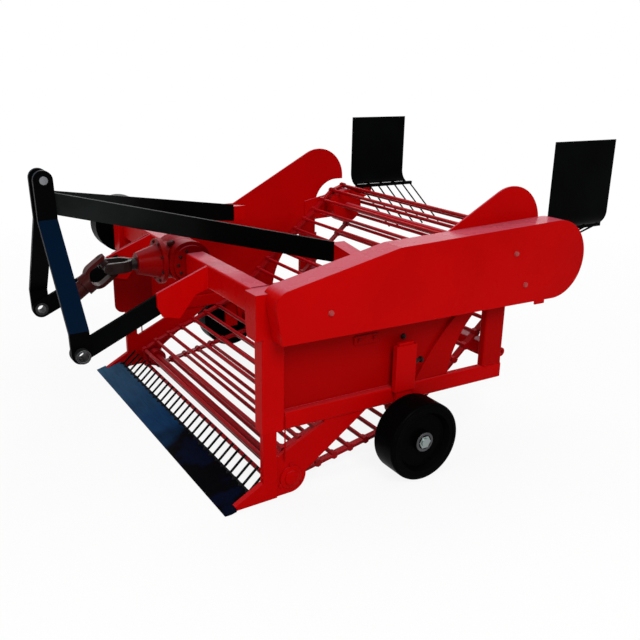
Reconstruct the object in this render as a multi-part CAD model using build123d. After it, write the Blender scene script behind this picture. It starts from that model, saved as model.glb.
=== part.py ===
"""Potato digger: share, comb, side frames, rod-chain conveyor, hitch and gauge wheels.

Millimetres.  +X is the machine's left side, -Y points forward to the tractor, +Z is up.
Every size below is measured from the share's front edge (Y), the centre plane (X) and the
ground (Z).  save() then shifts the whole machine along Y by ORIGIN_Y, so that the origin lies
under the middle of the machine's box.
"""
from build123d import *
import os
from math import asin, atan2, cos, degrees, hypot, pi, radians, sin, sqrt

# ---------------------------------------------------------------- driving dimensions
# side frames
FRAME_X = 640.0             # outer plane of posts and beams
TUBE_WALL = 5.0             # wall of every rectangular tube
TUBE_CORNER = 7.0           # their outer corner radius
POST_DEPTH = 56.0           # front post, along X
FRONT_POST_Y = 131.0        # front face of the front post
FRONT_POST_LENGTH = 73.0    # along Y
FRONT_POST_TOP = 655.0
HEAD_BOX_DEPTH = 67.0       # stout upper end of the front post, along X
HEAD_BOX_Y = 110.0          # its front face
HEAD_BOX_BOTTOM = 560.0
HEAD_BOX_TAPER = 40.0       # height over which it narrows down to the post
BEAM_DEPTH = 30.0           # lower beam and rear post, along X
BEAM_BOTTOM = 226.0
BEAM_HEIGHT = 55.0
BEAM_REAR_Y = 1064.0
REAR_POST_LENGTH = 85.0     # along Y
REAR_LUG_REACH = 20.0       # rounded lug behind the rear post
REAR_LUG_Z = 316.0
REAR_LUG_THICKNESS = 12.0
REAR_LUG_BORE = 8.0
REAR_POST_TOP = 505.0
PLATE_X = 612.0             # inner face of the side plates
PLATE_THICKNESS = 6.0
PLATE_FRONT_TOP = 674.0     # height of the plate's level front part
PLATE_KNEE_Y = 635.0        # where the plate starts to rise to the hump
HUMP_Y = 1068.0
HUMP_Z = 761.0
HUMP_RADIUS = 130.0
NOTCH_RADIUS = 112.0        # cut-out round the conveyor's head
DIAGONAL_THICKNESS = 12.0   # curved gusset on each side plate, in front of the window
DIAGONAL_TOP_GAP = 22.0     # window between the gusset's top and the rear post
DIAGONAL_RUN = 128.0        # its rear edge reaches forward by this down at the beam
DIAGONAL_TOP_WIDTH = 80.0
DIAGONAL_FOOT_WIDTH = 135.0
DIAGONAL_REAR_BOW = 25.0    # middle of each curved edge off its chord
DIAGONAL_FRONT_BOW = 13.0

# foot plates
FOOT_THICKNESS = 20.0       # front bar and nose
FOOT_PLATE_THICKNESS = 14.0
FOOT_BAR_REAR_Y = 178.0
FOOT_FRONT_Y = 38.0
FOOT_FRONT_BOTTOM = 1.0
FOOT_FRONT_TOP = 14.0
FOOT_FRONT_HEIGHT = 66.0    # where the nose meets the front bar
FOOT_STRIP_END_Y = 501.0    # where the foot's diagonal strip meets the beam
FOOT_BOSS_RADIUS = 54.0
FOOT_BOSS_LEAVE = 8.0       # degrees above level where the strip leaves the boss
FOOT_HUB_RADIUS = 32.0      # raised hub round the idler shaft
FOOT_HUB_HEIGHT = 6.0
WINDOW_FRONT_Y = 176.0
WINDOW_REAR_Y = 346.0
WINDOW_BOTTOM = 134.0
WINDOW_TIP_Z = 216.0
WINDOW_CORNER = 9.0

# share and comb
SHARE_HALF_WIDTH = 650.0
SHARE_DEPTH = 96.0
SHARE_THICKNESS = 11.0
SHARE_RISE = 31.0           # height of the share's rear top edge
SHARE_LAND = 20.0           # flat that rests on the ground
SHARE_EDGE = 2.0            # thickness of its front edge and its rear chamfer
COMB_COUNT = 28
COMB_PITCH = 44.5
COMB_ROD_RADIUS = 4.5
COMB_RUN = 56.0             # along Y
COMB_RISE = 52.0            # along Z
COMB_ROD_SIDES = 6
CARRIER_DEPTH = 8.0         # strip that carries the rods, along Y
CARRIER_UP = 5.0            # above and below the middle of the share's rear edge
CARRIER_DOWN = 6.0
CARRIER_END = 12.0          # past the outer rods

# conveyor: circles that the chain's rods run round, (Y, Z, radius)
IDLER_Y, IDLER_Z, IDLER_PITCH_RADIUS = 227.0, 61.0, 50.0
SAG_Y, SAG_Z, SAG_RADIUS = 392.0, 612.0, 400.0
HEAD_Y, HEAD_Z, HEAD_PITCH_RADIUS = 1165.0, 638.0, 88.0
RETURN_Y, RETURN_Z, RETURN_PITCH_RADIUS = 690.0, 152.0, 45.0
ROD_RADIUS = 7.5
ROD_SIDES = 8
ROD_PITCH = 63.0
ROD_PHASE = 0.9             # first rod's place along the loop, in pitches
LINK_OUTER_X = 572.0        # outer side of the hook links
LINK_WIDTH = 24.0
LINK_HEIGHT = 10.0
EYE_RADIUS = 12.5           # hook of a link round its rod
SHAFT_RADIUS = 16.0
SHAFT_SIDES = 24
HANGER_OUTER_X = 632.0      # plate under the beam that carries the return idler
HANGER_THICKNESS = 10.0
HANGER_WIDTH = 84.0
HANGER_RADIUS = 32.0
RETURN_SHAFT_OVERHANG = 8.0  # shaft past the hanger
HEAD_SHAFT_OVERHANG = 26.0   # shaft past the side plate, into the drive cover
SEAT_CLEARANCE = 0.3        # between the chain and its drums
ROLL_WIDTH = 60.0

# head bearing arms, which also carry the rear flaps
ARM_THICKNESS = 8.0
ARM_RADIUS = 62.0
ARM_REAR_Y = 1335.0
ARM_REAR_Z = 688.0
ARM_REAR_RADIUS = 26.0
ARM_ROOT_LAP = 60.0         # arm on the side plate, in front of the notch
ARM_ROOT_DOWN = 70.0        # its root, below and above the shaft
ARM_ROOT_UP = 20.0
ARM_SHOULDER_Y = 20.0       # corner over the shaft, in front of it and above it
ARM_SHOULDER_UP = 50.0
ARM_HEEL_Y = 10.0           # lower corner behind the shaft

# drive cover on the left side
COVER_OUTER_X = 704.0
COVER_WALL = 4.0
COVER_FRONT_Y = 133.0
COVER_FRONT_RUN = 28.0      # the front edge leans back by this towards its bottom
COVER_FRONT_RADIUS = 46.0
COVER_FRONT_BOTTOM = 518.0
COVER_FRONT_TOP = 666.0
COVER_KNEE_Y = 554.0
COVER_KNEE_Z = 757.0
COVER_END_Y = 1212.0
COVER_END_Z = 646.0
COVER_END_RADIUS = 135.0
COVER_CLEARANCE = 1.0
TAB_Y = 1133.0              # tab under the cover's rear part
TAB_LENGTH = 43.0
TAB_BOTTOM = 499.0
TAB_THICKNESS = 6.0

# front cross beam, gearbox and far disc
CROSS_Y = 130.0
CROSS_DEPTH = 66.0
CROSS_BOTTOM = 577.0
CROSS_HEIGHT = 78.0
GEARBOX_REACH = 78.0        # half length of its cross barrel, along X
GEARBOX_BARREL_Y = 150.0    # axis of the cross barrel
GEARBOX_BARREL_RADIUS = 74.0
GEARBOX_BARREL_CAP = 12.0   # bolted end caps of the cross barrel
GEARBOX_FRONT_Y = 60.0      # front flange
GEARBOX_FLANGE = 15.0
GEARBOX_FLANGE_RADIUS = 77.0
NECK_FRONT_Y = -12.0        # round the input shaft
NECK_RADIUS = 36.0
NECK_ROOT_RADIUS = 58.0
INPUT_Z = 617.0
DISC_Y = 164.0
DISC_Z = 610.0
DISC_RADIUS = 115.0
DISC_GAP = 42.0             # between the frame and the disc
DISC_HUB_RADIUS = 30.0
DISC_THICKNESS = 78.0
DISC_SIDES = 40
GUARD_FRONT_Y = -14.0       # plate on the right-hand arm bracket
GUARD_BOTTOM = 366.0
GUARD_FRONT_TOP = 594.0
GUARD_CORNER = 30.0
GUARD_THICKNESS = 6.0
REAR_TUBE_SETBACK = 34.0    # its middle, in front of the beam's rear end
REAR_TUBE_Z = 325.0
REAR_TUBE_SIZE = 50.0

# hitch
MAST_TOP_X = 30.0           # middle of the mast plates at the top
MAST_FOOT_X = 263.0         # middle of the mast plates at the lower pins
MAST_THICKNESS = 14.0
MAST_WIDTH = 59.0
MAST_Y = -279.5             # lower pins, along Y
MAST_LEAN = 1.8             # degrees forward
MAST_HEIGHT = 485.0         # lower pins to top pin, along the mast
MAST_UPPER_BEND = 362.0     # heights of the two bends over the lower pins
MAST_LOWER_BEND = 68.0
TOP_PIN_RADIUS = 12.5
TOP_PIN_OVERHANG = 9.0      # pin past each mast plate
LOWER_PIN_Z = 429.0
LOWER_BORE_RADIUS = 14.5    # takes the tractor's 28 mm pin
BUSH_RADIUS = 22.0          # welded bush round the lower bore
BUSH_INNER_OVERHANG = 4.0
BUSH_OUTER_OVERHANG = 22.0
PIN_CLEARANCE = 0.2         # of the top pin and the bushes in their plates
BRACE_HEIGHT = 66.0
BRACE_THICKNESS = 12.0
BRACE_REAR_X = 380.0
BRACE_REAR_Y = 524.0
BRACE_FRONT_Z = 837.0       # middle of the brace at its front end
BRACE_REAR_Z = 680.0
STUB_HEIGHT = 56.0
STUB_DEPTH = 50.0
STUB_DROP = 34.0            # the stub falls by this towards the side plate
LOWER_ARM_HEIGHT = 60.0
LOWER_ARM_THICKNESS = 14.0
LOWER_ARM_REAR_Y = 12.0
LOWER_ARM_REAR_Z = 564.0
BRACKET_FRONT_Y = -38.0
BRACKET_BOTTOM_Z = 493.0
BRACKET_THICKNESS = 10.0
BRACKET_TOP_STEP = 3.0      # under the beam's top
BRACKET_FRONT_RISE = 7.0    # front corner above the beam's bottom
BRACKET_HEEL_Y = 42.0       # lower corners, in front of the beam
BRACKET_HEEL_DROP = 14.0
BRACKET_TOE_Y = 97.0
BRACKET_NOSE_Y = 16.0       # blunted lower front corner
BRACKET_NOSE_LOW = 13.0
BRACKET_NOSE_HIGH = 47.0

# cardan joint of the PTO shaft
CARDAN_Y = -112.0
YOKE_HALF_GAP = 30.0
YOKE_WALL = 12.0
YOKE_WIDTH = 36.0
YOKE_REACH = 84.0
CROSS_PIN_RADIUS = 10.0
SPIDER_SIZE = 28.0
SHAFT_SLOPE = 36.0          # degrees below level
SHAFT_LENGTH = 172.0
SHAFT_HUB_RADIUS = 34.0     # end of the shaft's yoke, which the tube sits on
SHAFT_HUB_LENGTH = 12.0
SHAFT_TUBE_RADIUS = 26.0
CROSS_PIN_RECESS = 1.0      # pin ends inside the yokes' ears
STUB_RADIUS = 20.0

# gauge wheels
WHEEL_Y = 642.0
WHEEL_RADIUS = 131.0
WHEEL_INNER_X = 665.0
WHEEL_OUTER_X = 764.0
WHEEL_SHOULDER = 8.0        # radius of the drum's rounded edges
SHOULDER_BANDS = 3          # cone bands that round each edge
WHEEL_WALL = 6.0
WHEEL_DISH = 20.0           # depth of the dished outer face
WHEEL_DISH_RADIUS = 100.0
WHEEL_DISH_SLOPE = 12.0
HUB_RADIUS = 34.0
HUB_RECESS = 4.0            # hub end inside the wheel's outer plane
AXLE_RADIUS = 14.0
AXLE_CLEARANCE = 0.1
END_PLAY = 0.3              # between the wheel hub and its collar and nut
COLLAR_STEP = 9.0           # collar on the axle, over its radius
NUT_RADIUS = 22.0
NUT_HEIGHT = 3.7
AXLE_END = 4.0              # axle past the wheel's outer plane
SLEEVE_AHEAD = 11.0         # middle of the sleeve and leg, in front of the axle
SLEEVE_WIDTH = 78.0
SLEEVE_DEPTH = 20.0
SLEEVE_BOTTOM = 271.0
SLEEVE_HEIGHT = 155.0
LEG_GAP = 3.0               # leg off the frame's outer plane
LEG_WIDTH = 58.0
LEG_THICKNESS = 12.0
LEG_BELOW_AXLE = 30.0
LEG_ABOVE_SLEEVE = 8.0

# rear flaps
FLAP_OUTER_X = 616.0
FLAP_THICKNESS = 4.0
FLAP_FRONT_Y = 1249.0
FLAP_LENGTH = 300.0
FLAP_TOP = 1026.0
FLAP_STRAIGHT_BOTTOM = 772.0
FLAP_CURL_RADIUS = 58.0
FLAP_CURL_ANGLE = 62.0      # degrees of the curled lower edge
FLAP_BAR_GAP = 10.0
FLAP_BAR_SIZE = 14.0
FLAP_BAR_OVERHANG = 24.0    # bar past the sheet's rear edge
FLAP_TABS = 5               # that hold the bar
FLAP_TAB_WIDTH = 12.0
FLAP_TAB_THICKNESS = 4.0
FLAP_TAB_INSET = 8.0        # first and last tab from the sheet's ends
SHELF_FRONT_Y = 1263.0       # shelf that carries the flap's bar
SHELF_LENGTH = 70.0
SHELF_THICKNESS = 8.0
GRID_RODS = 7
GRID_ROD_RADIUS = 3.5
GRID_ROD_RUN = 235.0
GRID_ROD_DROP = 150.0
GRID_ROD_SIDES = 6
GRID_INSET_FRONT = 30.0     # first and last rod from the sheet's ends
GRID_OVERHANG_REAR = 14.0

# rear face of the front post, and the top of the lower beam
POST_REAR_Y = FRONT_POST_Y + FRONT_POST_LENGTH
BEAM_TOP = BEAM_BOTTOM + BEAM_HEIGHT
# rear edge of the gusset, at its top and at the beam
DIAGONAL_TOP_Y = BEAM_REAR_Y - REAR_POST_LENGTH - DIAGONAL_TOP_GAP
DIAGONAL_FOOT_Y = DIAGONAL_TOP_Y - DIAGONAL_RUN
# middle of the rear cross tube
REAR_TUBE_Y = BEAM_REAR_Y - REAR_TUBE_SETBACK
# top pin, from the lean of the mast
TOP_PIN_Y = MAST_Y - MAST_HEIGHT * sin(radians(MAST_LEAN))
TOP_PIN_Z = LOWER_PIN_Z + MAST_HEIGHT * cos(radians(MAST_LEAN))
# middle of the machine's length, from the share's edge
ORIGIN_Y = (TOP_PIN_Y - MAST_WIDTH / 2 + FLAP_FRONT_Y + FLAP_LENGTH + FLAP_BAR_OVERHANG) / 2


# ---------------------------------------------------------------- helpers
def save(name, shape):
    """Write one node, shifted so that the machine's middle is over the origin."""
    export_step(Pos(0, -ORIGIN_Y, 0) * shape, f"parts/{name}.step")


def side_plate_of(points, inner_x, thickness):
    """A plate across X from an outline of (Y, Z) points."""
    outline = make_face(Polyline(*points, close=True))
    return extrude(Plane.YZ.offset(inner_x) * outline, thickness)


def disc_x(y, z, radius, start_x, length):
    """A round bar along X."""
    return extrude(Plane.YZ.offset(start_x) * Pos(y, z) * Circle(radius), length)


def disc_y(start_y, end_y, radius):
    """A round bar along Y on the origin's axis."""
    return extrude(Plane(origin=(0, start_y, 0), z_dir=(0, 1, 0)) * Circle(radius), end_y - start_y)


def box_between(x0, x1, y0, y1, z0, z1):
    """A block between two corners."""
    middle = Pos((x0 + x1) / 2, (y0 + y1) / 2, (z0 + z1) / 2)
    return middle * Box(abs(x1 - x0), abs(y1 - y0), abs(z1 - z0))


def prism_x(y, z, radius, sides, start_x, length):
    """A round bar along X with flat sides, which keeps its facets few."""
    return extrude(Plane.YZ.offset(start_x) * Pos(y, z) * RegularPolygon(radius, sides), length)


def tube_between(x0, x1, y0, y1, z0, z1, along):
    """A rectangular tube with rounded corners between two corners, open along one axis."""
    dx, dy, dz = x1 - x0, y1 - y0, z1 - z0
    plane, wide, high, long = {"x": (Plane.YZ, dy, dz, dx), "y": (Plane.XZ, dx, dz, dy),
                               "z": (Plane.XY, dx, dy, dz)}[along]
    bore = TUBE_CORNER - TUBE_WALL
    ring = RectangleRounded(wide, high, TUBE_CORNER)
    ring -= RectangleRounded(wide - 2 * TUBE_WALL, high - 2 * TUBE_WALL, bore)
    middle = Pos((x0 + x1) / 2, (y0 + y1) / 2, (z0 + z1) / 2)
    return middle * extrude(plane * ring, long / 2, both=True)


def bar_between(start, end, height, thickness):
    """A flat bar standing on edge from start to end (X, Y, Z of its middle line)."""
    run = Vector(*end) - Vector(*start)
    across = Vector(0, 0, 1).cross(run).normalized()
    plane = Plane(origin=start, x_dir=across, z_dir=run.normalized())
    return extrude(plane * Rectangle(thickness, height), run.length)


def both_sides(name, shape):
    """Save a piece of the left side and its mirror image."""
    save(f"{name}_left", shape)
    save(f"{name}_right", mirror(shape, about=Plane.YZ))


def bowed(start, end, bow):
    """An arc from start to end whose middle lies off the chord by bow, on its left."""
    run, rise = end[0] - start[0], end[1] - start[1]
    shift = bow / hypot(run, rise)
    middle = ((start[0] + end[0]) / 2 - shift * rise, (start[1] + end[1]) / 2 + shift * run)
    return ThreePointArc(start, middle, end)


# ---------------------------------------------------------------- side frames
def front_post():
    """Post from the lower beam up to a stout box that takes the cross beam."""
    inner_x = FRAME_X - POST_DEPTH
    post = tube_between(inner_x, FRAME_X, FRONT_POST_Y, POST_REAR_Y, BEAM_BOTTOM,
                        HEAD_BOX_BOTTOM, "z")
    box_x = FRAME_X - HEAD_BOX_DEPTH
    outline = [(FRAME_X, HEAD_BOX_BOTTOM - HEAD_BOX_TAPER), (FRAME_X, FRONT_POST_TOP),
               (box_x, FRONT_POST_TOP), (box_x, HEAD_BOX_BOTTOM),
               (inner_x, HEAD_BOX_BOTTOM - HEAD_BOX_TAPER)]
    face = make_face(Polyline(*outline, close=True))
    box = extrude(Plane.XZ.offset(-HEAD_BOX_Y) * face, -(POST_REAR_Y - HEAD_BOX_Y))
    hollow = box_between(inner_x + TUBE_WALL, FRAME_X - TUBE_WALL, FRONT_POST_Y + TUBE_WALL,
                         POST_REAR_Y - TUBE_WALL, 0, FRONT_POST_TOP - TUBE_WALL)
    return post + (box - hollow)


def lower_beam():
    """Beam from the front post to the rear, with the hanger of the return idler under it."""
    beam = tube_between(FRAME_X - BEAM_DEPTH, FRAME_X, POST_REAR_Y, BEAM_REAR_Y,
                        BEAM_BOTTOM, BEAM_BOTTOM + BEAM_HEIGHT, "y")
    inner_x = HANGER_OUTER_X - HANGER_THICKNESS
    outline = [(RETURN_Y - HANGER_WIDTH / 2, BEAM_BOTTOM), (RETURN_Y + HANGER_WIDTH / 2, BEAM_BOTTOM),
               (RETURN_Y + HANGER_RADIUS, RETURN_Z), (RETURN_Y - HANGER_RADIUS, RETURN_Z)]
    hanger = side_plate_of(outline, inner_x, HANGER_THICKNESS)
    hanger += disc_x(RETURN_Y, RETURN_Z, HANGER_RADIUS, inner_x, HANGER_THICKNESS)
    return beam + hanger - disc_x(RETURN_Y, RETURN_Z, SHAFT_RADIUS + SEAT_CLEARANCE, inner_x,
                                  HANGER_THICKNESS)


def rear_post():
    """Post on the beam's rear end, with a bored lug behind it."""
    post = tube_between(FRAME_X - BEAM_DEPTH, FRAME_X, BEAM_REAR_Y - REAR_POST_LENGTH,
                        BEAM_REAR_Y, BEAM_BOTTOM + BEAM_HEIGHT, REAR_POST_TOP, "z")
    inner_x = FRAME_X - TUBE_CORNER - REAR_LUG_THICKNESS
    lug_y = BEAM_REAR_Y + REAR_LUG_REACH - 2 * REAR_LUG_BORE
    lug = disc_x(lug_y, REAR_LUG_Z, 2 * REAR_LUG_BORE, inner_x, REAR_LUG_THICKNESS)
    lug += box_between(inner_x, inner_x + REAR_LUG_THICKNESS, BEAM_REAR_Y, lug_y,
                       REAR_LUG_Z - 2 * REAR_LUG_BORE, REAR_LUG_Z + 2 * REAR_LUG_BORE)
    lug -= box_between(inner_x, inner_x + REAR_LUG_THICKNESS, lug_y - 2 * REAR_LUG_BORE,
                       BEAM_REAR_Y, REAR_LUG_Z - 2 * REAR_LUG_BORE, REAR_LUG_Z + 2 * REAR_LUG_BORE)
    lug -= disc_x(lug_y, REAR_LUG_Z, REAR_LUG_BORE, inner_x, REAR_LUG_THICKNESS)
    return post + lug


def side_plate():
    """Sheet between the posts, with the hump, the notch round the head and the gusset."""
    rear_y = HEAD_Y - NOTCH_RADIUS
    reach = hypot(HUMP_Y - PLATE_KNEE_Y, HUMP_Z - PLATE_FRONT_TOP)
    slope = atan2(HUMP_Z - PLATE_FRONT_TOP, HUMP_Y - PLATE_KNEE_Y) + asin(HUMP_RADIUS / reach)
    touch = (HUMP_Y - HUMP_RADIUS * sin(slope), HUMP_Z + HUMP_RADIUS * cos(slope))
    notch_top = HEAD_Z + NOTCH_RADIUS
    rear_foot, rear_top = (DIAGONAL_FOOT_Y, BEAM_TOP), (DIAGONAL_TOP_Y, REAR_POST_TOP)
    front_foot = (DIAGONAL_FOOT_Y - DIAGONAL_FOOT_WIDTH, BEAM_TOP)
    front_top = (DIAGONAL_TOP_Y - DIAGONAL_TOP_WIDTH, REAR_POST_TOP)
    rear_edge = bowed(rear_foot, rear_top, DIAGONAL_REAR_BOW)
    outline = Polyline(rear_foot, (POST_REAR_Y, BEAM_TOP), (POST_REAR_Y, PLATE_FRONT_TOP),
                       (PLATE_KNEE_Y, PLATE_FRONT_TOP), touch, (HUMP_Y, HUMP_Z),
                       (HUMP_Y + HUMP_RADIUS, HUMP_Z), (HUMP_Y + HUMP_RADIUS, notch_top),
                       (HEAD_Y, notch_top), (HEAD_Y, HEAD_Z), (rear_y, HEAD_Z),
                       (rear_y, REAR_POST_TOP), rear_top)
    sheet = make_face(outline.edges() + [rear_edge])
    plate = extrude(Plane.YZ.offset(PLATE_X) * sheet, PLATE_THICKNESS)
    plate += disc_x(HUMP_Y, HUMP_Z, HUMP_RADIUS, PLATE_X, PLATE_THICKNESS)
    plate -= disc_x(HEAD_Y, HEAD_Z, NOTCH_RADIUS, PLATE_X, PLATE_THICKNESS)
    plate -= box_between(PLATE_X, PLATE_X + PLATE_THICKNESS, HEAD_Y, HEAD_Y + 2 * NOTCH_RADIUS,
                         HEAD_Z, notch_top)
    gusset = make_face([rear_edge, Line(rear_top, front_top), Line(front_foot, rear_foot),
                        bowed(front_foot, front_top, DIAGONAL_FRONT_BOW)])
    outer_x = PLATE_X + PLATE_THICKNESS
    return plate + extrude(Plane.YZ.offset(outer_x) * gusset, DIAGONAL_THICKNESS)


def side_foot():
    """Front bar with the share's nose, and behind it the idler boss and the diagonal strip."""
    inner_x = FRAME_X - FOOT_THICKNESS
    low = IDLER_Z - FOOT_BOSS_RADIUS
    fall = (low - FOOT_FRONT_BOTTOM) / (IDLER_Y - FOOT_FRONT_Y)
    bar_low = FOOT_FRONT_BOTTOM + fall * (FOOT_BAR_REAR_Y - FOOT_FRONT_Y)
    bar = [(FOOT_FRONT_Y, FOOT_FRONT_BOTTOM), (FOOT_BAR_REAR_Y, bar_low),
           (FOOT_BAR_REAR_Y, BEAM_BOTTOM), (FRONT_POST_Y, BEAM_BOTTOM),
           (FRONT_POST_Y, FOOT_FRONT_HEIGHT), (FOOT_FRONT_Y, FOOT_FRONT_TOP)]
    leave = (IDLER_Y + FOOT_BOSS_RADIUS * cos(radians(FOOT_BOSS_LEAVE)),
             IDLER_Z + FOOT_BOSS_RADIUS * sin(radians(FOOT_BOSS_LEAVE)))
    outline = [(FOOT_BAR_REAR_Y, bar_low), (IDLER_Y, low), (IDLER_Y, IDLER_Z), leave,
               (FOOT_STRIP_END_Y, BEAM_BOTTOM), (FOOT_BAR_REAR_Y, BEAM_BOTTOM)]
    plate = side_plate_of(outline, inner_x, FOOT_PLATE_THICKNESS)
    plate += disc_x(IDLER_Y, IDLER_Z, FOOT_BOSS_RADIUS, inner_x, FOOT_PLATE_THICKNESS)
    window = make_face(Polyline((WINDOW_FRONT_Y, WINDOW_BOTTOM), (WINDOW_REAR_Y, WINDOW_TIP_Z),
                                (WINDOW_REAR_Y, BEAM_BOTTOM), (WINDOW_FRONT_Y, BEAM_BOTTOM),
                                close=True))
    window = fillet(window.vertices().group_by(Axis.Y)[0], WINDOW_CORNER)
    cut = extrude(Plane.YZ.offset(inner_x) * window, FOOT_THICKNESS)
    hub_x = inner_x + FOOT_PLATE_THICKNESS
    foot = plate + side_plate_of(bar, inner_x, FOOT_THICKNESS) - cut
    foot += disc_x(IDLER_Y, IDLER_Z, FOOT_HUB_RADIUS, hub_x, FOOT_HUB_HEIGHT)
    return foot - disc_x(IDLER_Y, IDLER_Z, SHAFT_RADIUS + SEAT_CLEARANCE, inner_x,
                         FOOT_PLATE_THICKNESS + FOOT_HUB_HEIGHT)


# ---------------------------------------------------------------- share and comb
def share_blade():
    """Flat share with a ground land; its corners pass in front of the foot plates."""
    section = [(0, 0), (SHARE_LAND, 0), (SHARE_DEPTH, SHARE_RISE - SHARE_THICKNESS),
               (SHARE_DEPTH - SHARE_EDGE, SHARE_RISE), (0, SHARE_EDGE)]
    blade = side_plate_of(section, -SHARE_HALF_WIDTH, 2 * SHARE_HALF_WIDTH)
    notch = box_between(FRAME_X - FOOT_THICKNESS, 2 * SHARE_HALF_WIDTH, FOOT_FRONT_Y,
                        2 * SHARE_DEPTH, -SHARE_RISE, 2 * SHARE_RISE)
    return blade - notch - mirror(notch, about=Plane.YZ)


def share_comb():
    """Rods from the share's rear edge up to the conveyor, on one carrier strip."""
    root_y, root_z = SHARE_DEPTH, SHARE_RISE - SHARE_THICKNESS / 2
    half = (COMB_COUNT - 1) * COMB_PITCH / 2
    comb = box_between(-half - CARRIER_END, half + CARRIER_END, root_y, root_y + CARRIER_DEPTH,
                       root_z - CARRIER_DOWN, root_z + CARRIER_UP)
    run = hypot(COMB_RUN, COMB_RISE)
    for index in range(COMB_COUNT):
        x = index * COMB_PITCH - half
        foot = Plane(origin=(x, root_y + CARRIER_DEPTH / 2, root_z),
                     z_dir=(0, COMB_RUN, COMB_RISE))
        comb += extrude(foot * RegularPolygon(COMB_ROD_RADIUS, COMB_ROD_SIDES), run)
    return comb


# ---------------------------------------------------------------- conveyor
# Circles in the order of travel; a negative radius is passed on its other side.
CIRCLES = [(IDLER_Y, IDLER_Z, IDLER_PITCH_RADIUS), (SAG_Y, SAG_Z, -SAG_RADIUS),
           (HEAD_Y, HEAD_Z, HEAD_PITCH_RADIUS), (RETURN_Y, RETURN_Z, RETURN_PITCH_RADIUS)]


def chain_path():
    """Straights and arcs of the rods' loop: (kind, length, start y, start z, angle, radius)."""
    count = len(CIRCLES)
    heading = []
    for index in range(count):
        y0, z0, r0 = CIRCLES[index]
        y1, z1, r1 = CIRCLES[(index + 1) % count]
        direct = atan2(z1 - z0, y1 - y0)
        heading.append(direct - asin((r0 - r1) / hypot(y1 - y0, z1 - z0)))
    path = []
    for index in range(count):
        y0, z0, r0 = CIRCLES[index]
        y1, z1, r1 = CIRCLES[(index + 1) % count]
        arrive, leave = heading[index - 1], heading[index]
        turn = (arrive - leave) % (2 * pi)
        if r0 < 0:
            turn = turn - 2 * pi
        path.append(("arc", abs(turn * r0), y0, z0, arrive, r0))
        angle = leave
        start = (y0 - r0 * sin(angle), z0 + r0 * cos(angle))
        end = (y1 - r1 * sin(angle), z1 + r1 * cos(angle))
        path.append(("line", hypot(end[0] - start[0], end[1] - start[1]), *start, angle, 0))
    return path


def chain_point(path, distance):
    """Y, Z and travel angle at a distance along the loop."""
    for kind, length, y, z, angle, radius in path:
        if distance <= length:
            if kind == "line":
                return y + distance * cos(angle), z + distance * sin(angle), angle
            now = angle - distance / radius
            return y - radius * sin(now), z + radius * cos(now), now
        distance -= length
    return chain_point(path, distance)


def conveyor_chain():
    """Cross rods joined at both ends by hook links, one closed loop."""
    path = chain_path()
    total = sum(piece[1] for piece in path)
    count = round(total / ROD_PITCH)
    step = total / count
    spots = [chain_point(path, (index + ROD_PHASE) * step)[:2] for index in range(count)]
    inner_x = LINK_OUTER_X - LINK_WIDTH
    rods = None
    links = None
    for index in range(count):
        y0, z0 = spots[index]
        y1, z1 = spots[(index + 1) % count]
        rod = prism_x(y0, z0, ROD_RADIUS, ROD_SIDES, -LINK_OUTER_X, 2 * LINK_OUTER_X)
        tilt = degrees(atan2(z1 - z0, y1 - y0))
        place = Pos(inner_x + LINK_WIDTH / 2, (y0 + y1) / 2, (z0 + z1) / 2) * Rot(tilt, 0, 0)
        link = place * Box(LINK_WIDTH, hypot(y1 - y0, z1 - z0), LINK_HEIGHT)
        link += prism_x(y0, z0, EYE_RADIUS, ROD_SIDES, inner_x, LINK_WIDTH)
        rods = rod if rods is None else rods + rod
        links = link if links is None else links + link
    return rods + links + mirror(links, about=Plane.YZ)


def roll(y, z, pitch_radius, reach):
    """A through shaft with a drum at each end; the side links lie on the drums as chords."""
    chord = sqrt(pitch_radius ** 2 - (ROD_PITCH / 2) ** 2)
    radius = min(chord - LINK_HEIGHT / 2, pitch_radius - EYE_RADIUS) - SEAT_CLEARANCE
    shaft = prism_x(y, z, SHAFT_RADIUS, SHAFT_SIDES, -reach, 2 * reach)
    drum = prism_x(y, z, radius, SHAFT_SIDES, LINK_OUTER_X - ROLL_WIDTH, ROLL_WIDTH)
    return shaft + drum + mirror(drum, about=Plane.YZ)


def head_arm():
    """Bearing arm inside the side plate, round the head shaft, with the flap's shelf."""
    start_x = PLATE_X - ARM_THICKNESS
    root_y = HEAD_Y - NOTCH_RADIUS - ARM_ROOT_LAP
    outline = [(root_y, HEAD_Z - ARM_ROOT_DOWN), (root_y, HEAD_Z + ARM_ROOT_UP),
               (HEAD_Y - ARM_SHOULDER_Y, HEAD_Z + ARM_SHOULDER_UP),
               (ARM_REAR_Y, ARM_REAR_Z + ARM_REAR_RADIUS),
               (ARM_REAR_Y, ARM_REAR_Z - ARM_REAR_RADIUS),
               (HEAD_Y + ARM_HEEL_Y, HEAD_Z - ARM_RADIUS)]
    arm = side_plate_of(outline, start_x, ARM_THICKNESS)
    arm += disc_x(HEAD_Y, HEAD_Z, ARM_RADIUS, start_x, ARM_THICKNESS)
    arm += disc_x(ARM_REAR_Y, ARM_REAR_Z, ARM_REAR_RADIUS, start_x, ARM_THICKNESS)
    bar_x, bar_z = flap_bar()
    half = FLAP_BAR_SIZE / 2
    arm += box_between(bar_x, start_x, SHELF_FRONT_Y, SHELF_FRONT_Y + SHELF_LENGTH,
                       bar_z - half - SHELF_THICKNESS, bar_z - half)
    return arm - disc_x(HEAD_Y, HEAD_Z, SHAFT_RADIUS + SEAT_CLEARANCE, start_x, ARM_THICKNESS)


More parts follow.
